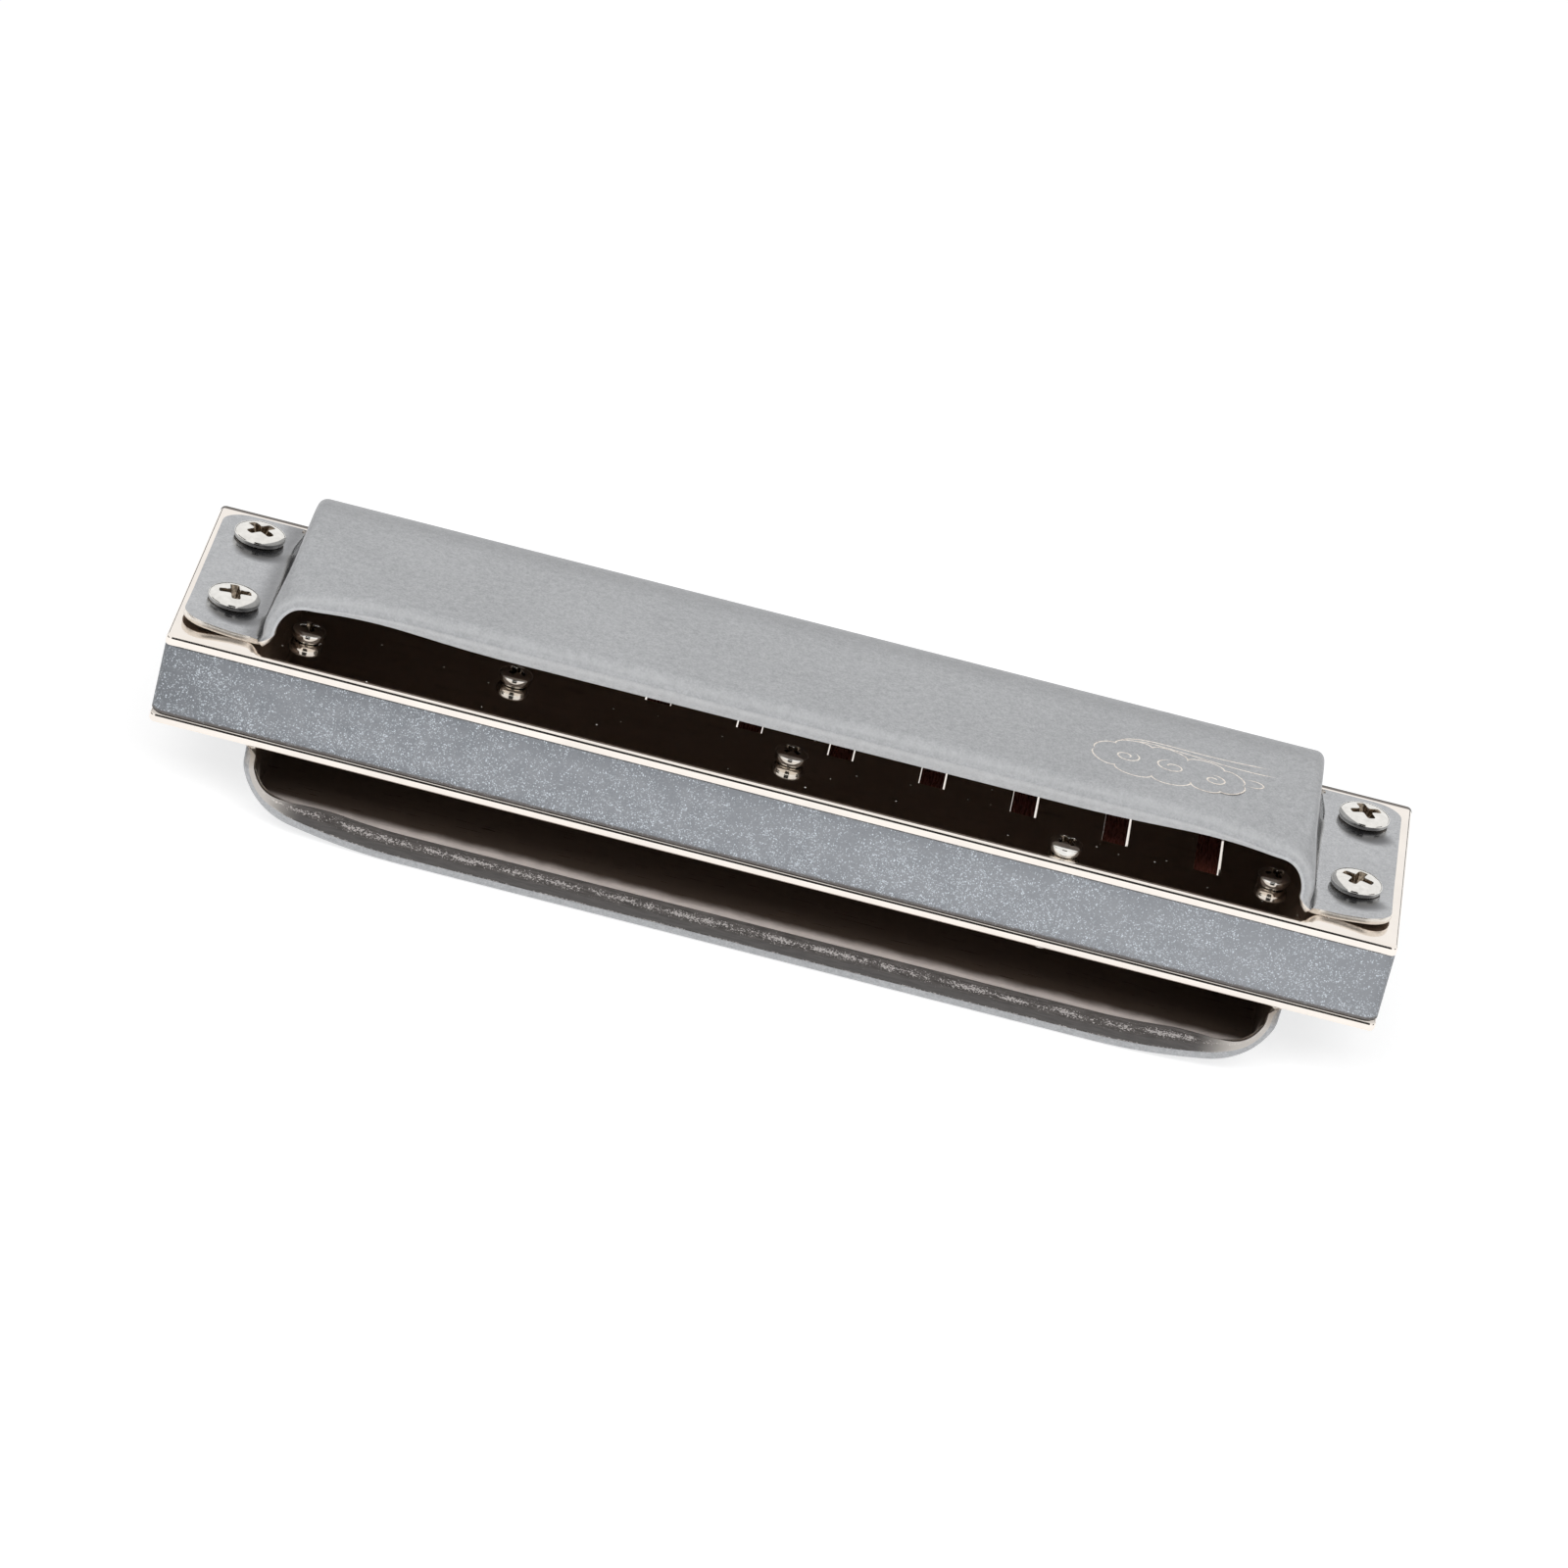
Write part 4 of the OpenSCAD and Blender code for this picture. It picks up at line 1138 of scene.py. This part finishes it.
def tent(name, sky):
    """Surroundings that are white to the camera and in reflections, and light dull surfaces less."""
    world = bpy.data.worlds.new(name)
    n = Nodes(world)
    dull = n.node("ShaderNodeBackground", {"Color": (0.97, 0.985, 1), "Strength": sky})
    white = n.node("ShaderNodeBackground", {"Color": (1, 1, 1), "Strength": 1})
    mix = n.node("ShaderNodeMixShader", {0: n.seen(), 1: dull.outputs[0], 2: white.outputs[0]})
    n.node("ShaderNodeOutputWorld", {"Surface": mix.outputs[0]})
    return world


def lamp(name, place, target, width, height, power):
    """A long soft light that looks at a point."""
    data = bpy.data.lights.new(name, "AREA")
    data.shape = "RECTANGLE"
    data.size, data.size_y = width, height
    data.energy = power
    light = placed(name, data)
    light.location = place
    light.rotation_euler = (Vector(target) - Vector(place)).to_track_quat("-Z", "Y").to_euler()
    light.visible_glossy = False


def panel(name, points, material):
    """A sheet of the stage, from a grid of points."""
    mesh = bpy.data.meshes.new(name)
    mesh.from_pydata(points.reshape(-1, 3).tolist(), [], grid_faces(*points.shape[:2]).tolist())
    mesh.materials.append(material)
    return placed(name, mesh)


def card(name, place, target, width, height, tone):
    """A dark card that only reflections see: a slightly bowed sheet, part of the stage."""
    u, v = np.meshgrid(np.linspace(-0.5, 0.5, 9), np.linspace(-0.5, 0.5, 9))
    points = np.stack([u * width, v * height, 0.05 * width * u * u], -1)
    turn = np.array((Vector(target) - Vector(place)).to_track_quat("Z", "Y").to_matrix())
    finish = Finish(name, {"Base Color": tone, "Roughness": 0.9})
    piece = panel(name, points @ turn.T + np.array(place), finish.material)
    piece.visible_camera = False
    piece.visible_diffuse = False
    piece.visible_shadow = False


ROOM_DARK, SIDE_DARK = (0.03, 0.028, 0.026), (0.07, 0.055, 0.04)
CARDS = (
    ("dark_room_card", (0, -1.0, 0.42), (0, 0, 0.42), 0.56, 0.84, ROOM_DARK),
    ("dark_left_card", (-1.0, -0.25, 0.13), (0, 0, 0.13), 0.9, 0.26, SIDE_DARK),
    ("dark_right_card", (1.0, -0.25, 0.13), (0, 0, 0.13), 0.5, 0.26, SIDE_DARK),
    ("dark_horizon_card", (0, 1.0, 0.07), (0, 0, 0.07), 3.2, 0.14, ROOM_DARK))


class HARMONICA_OT_stage(bpy.types.Operator):
    """Camera at the photograph's angle, white floor and surroundings, one soft lamp and dark cards"""
    bl_idname = "harmonica.stage"
    bl_label = "Stage"

    def execute(self, context):
        scene = context.scene
        v = scene.harmonica_stage
        back = Vector((math.sin(v.turn) * math.cos(v.elevation), -math.cos(v.turn) * math.cos(v.elevation),
                       math.sin(v.elevation)))
        right = Vector((math.cos(v.turn), math.sin(v.turn), 0))
        up = back.cross(right)
        across = right * math.cos(v.roll) + up * math.sin(v.roll)
        above = up * math.cos(v.roll) - right * math.sin(v.roll)
        data = bpy.data.cameras.new("camera")
        data.lens = v.lens
        data.sensor_width = 36
        data.clip_start, data.clip_end = 0.01, 20
        camera = placed("camera", data)
        turned = Matrix((across, above, back)).transposed().to_4x4()
        turned.translation = Vector(v.target) + back * v.distance
        camera.matrix_world = turned
        scene.camera = camera
        scene.view_settings.view_transform = "Standard"
        scene.world = tent("surroundings", v.sky)

        x, y = np.meshgrid(np.linspace(-3, 3, 13), np.linspace(-3, 3, 13))
        white = glowing_white("floor_white", (0.5, 0.5, 0.5), v.floor_glow)
        panel("floor", np.stack([x, y, 0 * x + LOW[2] - 0.02 * MM], -1), white)
        lamp("key_lamp", (0, -0.60, 0.61), (0, 0, 0.01), 0.9, 0.34, v.key)
        for values in CARDS:
            card(*values)
        return {"FINISHED"}


class HARMONICA_OT_covers(bpy.types.Operator):
    """Upper and lower cover: folded, bent and pressed from sheet"""
    bl_idname = "harmonica.covers"
    bl_label = "Covers"

    def execute(self, context):
        sizes = context.scene.harmonica_covers
        finishes = [shared(satin_steel), shared(inner_steel), shared(cut_edge)]
        make_cover("upper_cover_sheet", "upper_cover", sizes, finishes + [shared(satin_steel)], True)
        make_cover("lower_cover_sheet", "lower_cover", sizes, finishes + [shared(scraped_lip)], False)
        return {"FINISHED"}


class HARMONICA_OT_plates(bpy.types.Operator):
    """Reed plates in polished nickel with rolled edges"""
    bl_idname = "harmonica.plates"
    bl_label = "Reed plates"

    def execute(self, context):
        sizes = context.scene.harmonica_plates
        rounded_plate("blow_plate_rolled", "blow_reed_plate", sizes, sizes.burr, shared(plate_nickel))
        rounded_plate("draw_plate_rolled", "draw_reed_plate", sizes, sizes.lower_burr, shared(plate_nickel))
        return {"FINISHED"}


class HARMONICA_OT_comb(bpy.types.Operator):
    """Comb in grey moulding with metal flakes"""
    bl_idname = "harmonica.comb"
    bl_label = "Comb"

    def execute(self, context):
        refinish(["comb"], shared(flake_moulding))
        return {"FINISHED"}


class HARMONICA_OT_bolts(bpy.types.Operator):
    """Cover bolts with domed heads, cross recesses and threads"""
    bl_idname = "harmonica.bolts"
    bl_label = "Cover bolts"

    def execute(self, context):
        s = context.scene.harmonica_screws
        low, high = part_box("cover_bolts")
        z = high.z - s.bolt_height
        make_screws("cover_bolts_with_cross", "cover_bolts", bolt_places(), (12, 48, 70, 25), z=z,
                    head=s.bolt_head, height=s.bolt_height, waist=s.bolt_waist, power=5, foot=0.80, film=0.6,
                    shank=s.bolt_shank, total=z - low.z, pitch=0.4 * MM, count=s.steps)
        return {"FINISHED"}


class HARMONICA_OT_screws(bpy.types.Operator):
    """Reed plate screws with round heads, cross recesses and threads"""
    bl_idname = "harmonica.screws"
    bl_label = "Plate screws"

    def execute(self, context):
        s = context.scene.harmonica_screws
        low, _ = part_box("reed_plate_screws")
        places = screw_places()
        make_screws("plate_screws_with_cross", "reed_plate_screws", places,
                    [17 + 40 * k for k in range(len(places))], z=UPPER_FACE, head=s.screw_head,
                    height=s.screw_height, waist=s.screw_waist, power=2.4, foot=0.64, film=2,
                    shank=s.screw_shank, total=UPPER_FACE - low.z, pitch=0.3 * MM, count=s.steps)
        return {"FINISHED"}


class HARMONICA_OT_nuts(bpy.types.Operator):
    """Hexagon nuts of the cover bolts"""
    bl_idname = "harmonica.nuts"
    bl_label = "Cover nuts"

    def execute(self, context):
        s = context.scene.harmonica_screws
        low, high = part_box("cover_nuts")
        rings = hex_rings(low.z, s.nut_width, high.z - low.z, s.bolt_shank + 0.05 * MM)
        loop = np.concatenate([rings, rings[:1]])
        patches = Patches()
        for x, y in bolt_places():
            patches.add(loop + np.array([x, y, 0]), grid_faces(len(loop), NUT_POINTS, closed=True))
        piece = patches.build("cover_nuts_chamfered", [shared(bright_nickel)], sharp=20)
        stand_in(piece, "cover_nuts")
        return {"FINISHED"}


class HARMONICA_OT_reeds(bpy.types.Operator):
    """Bronze reeds with their feet and rivets"""
    bl_idname = "harmonica.reeds"
    bl_label = "Reeds"

    def execute(self, context):
        c = context.scene.harmonica_colours
        strip = filed_metal("reed_bronze", c.bronze, 1, 0.08)
        cross = filed_metal("reed_foot_bronze", c.bronze, 0.08, 1)
        peened = filed_metal("rivet_brass", c.rivet, 1, 1)
        for kind in ("blow", "draw"):
            refinish([f"{kind}_reed_{i:02d}" for i in range(1, HOLES + 1)], strip)
            refinish([f"{kind}_reed_feet"], cross)
            refinish([f"{kind}_reed_rivets"], peened)
        return {"FINISHED"}


class HARMONICA_OT_cloud(bpy.types.Operator):
    """Cloud scroll of thin bright lines on the upper crown"""
    bl_idname = "harmonica.cloud"
    bl_label = "Cloud scroll"

    def execute(self, context):
        patches = Patches()
        corner = np.array([21.9 * MM, REAR + 3.6 * MM])
        for path in cloud_paths():
            ribbon(patches, corner + path * MM, 0.15 * MM, 0.012 * MM, HIGH[2] - 0.002 * MM)
        patches.build("cloud_scroll_lines", [shared(engraved_line)])
        return {"FINISHED"}


class HARMONICA_PT_panel(bpy.types.Panel):
    """Lists the pieces in the order in which they are made"""
    bl_idname = "HARMONICA_PT_panel"
    bl_label = "Harmonica"
    bl_space_type = "VIEW_3D"
    bl_region_type = "UI"
    bl_category = "Harmonica"

    def draw(self, context):
        for operator in OPERATORS:
            self.layout.operator(operator.bl_idname)
        for name in GROUPS:
            group = getattr(context.scene, name)
            box = self.layout.box()
            for key in group.__annotations__:
                box.prop(group, key)


OPERATORS = (
    HARMONICA_OT_stage, HARMONICA_OT_covers, HARMONICA_OT_plates, HARMONICA_OT_comb, HARMONICA_OT_bolts,
    HARMONICA_OT_screws, HARMONICA_OT_nuts, HARMONICA_OT_reeds, HARMONICA_OT_cloud)
GROUPS = {
    "harmonica_covers": CoverSizes, "harmonica_plates": PlateSizes, "harmonica_screws": ScrewSizes,
    "harmonica_colours": FinishColours, "harmonica_stage": StageValues}


def register():
    for group in GROUPS.values():
        bpy.utils.register_class(group)
    for name, group in GROUPS.items():
        setattr(bpy.types.Scene, name, PointerProperty(type=group))
    for operator in OPERATORS:
        bpy.utils.register_class(operator)
    bpy.utils.register_class(HARMONICA_PT_panel)


def unregister():
    bpy.utils.unregister_class(HARMONICA_PT_panel)
    for operator in reversed(OPERATORS):
        bpy.utils.unregister_class(operator)
    for name in GROUPS:
        delattr(bpy.types.Scene, name)
    for group in reversed(GROUPS.values()):
        bpy.utils.unregister_class(group)


def main():
    register()
    for operator in OPERATORS:
        group, name = operator.bl_idname.split(".")
        if getattr(getattr(bpy.ops, group), name)() != {"FINISHED"}:
            raise RuntimeError(f"{operator.bl_label} didn't finish")


if __name__ == "__main__":
    main()
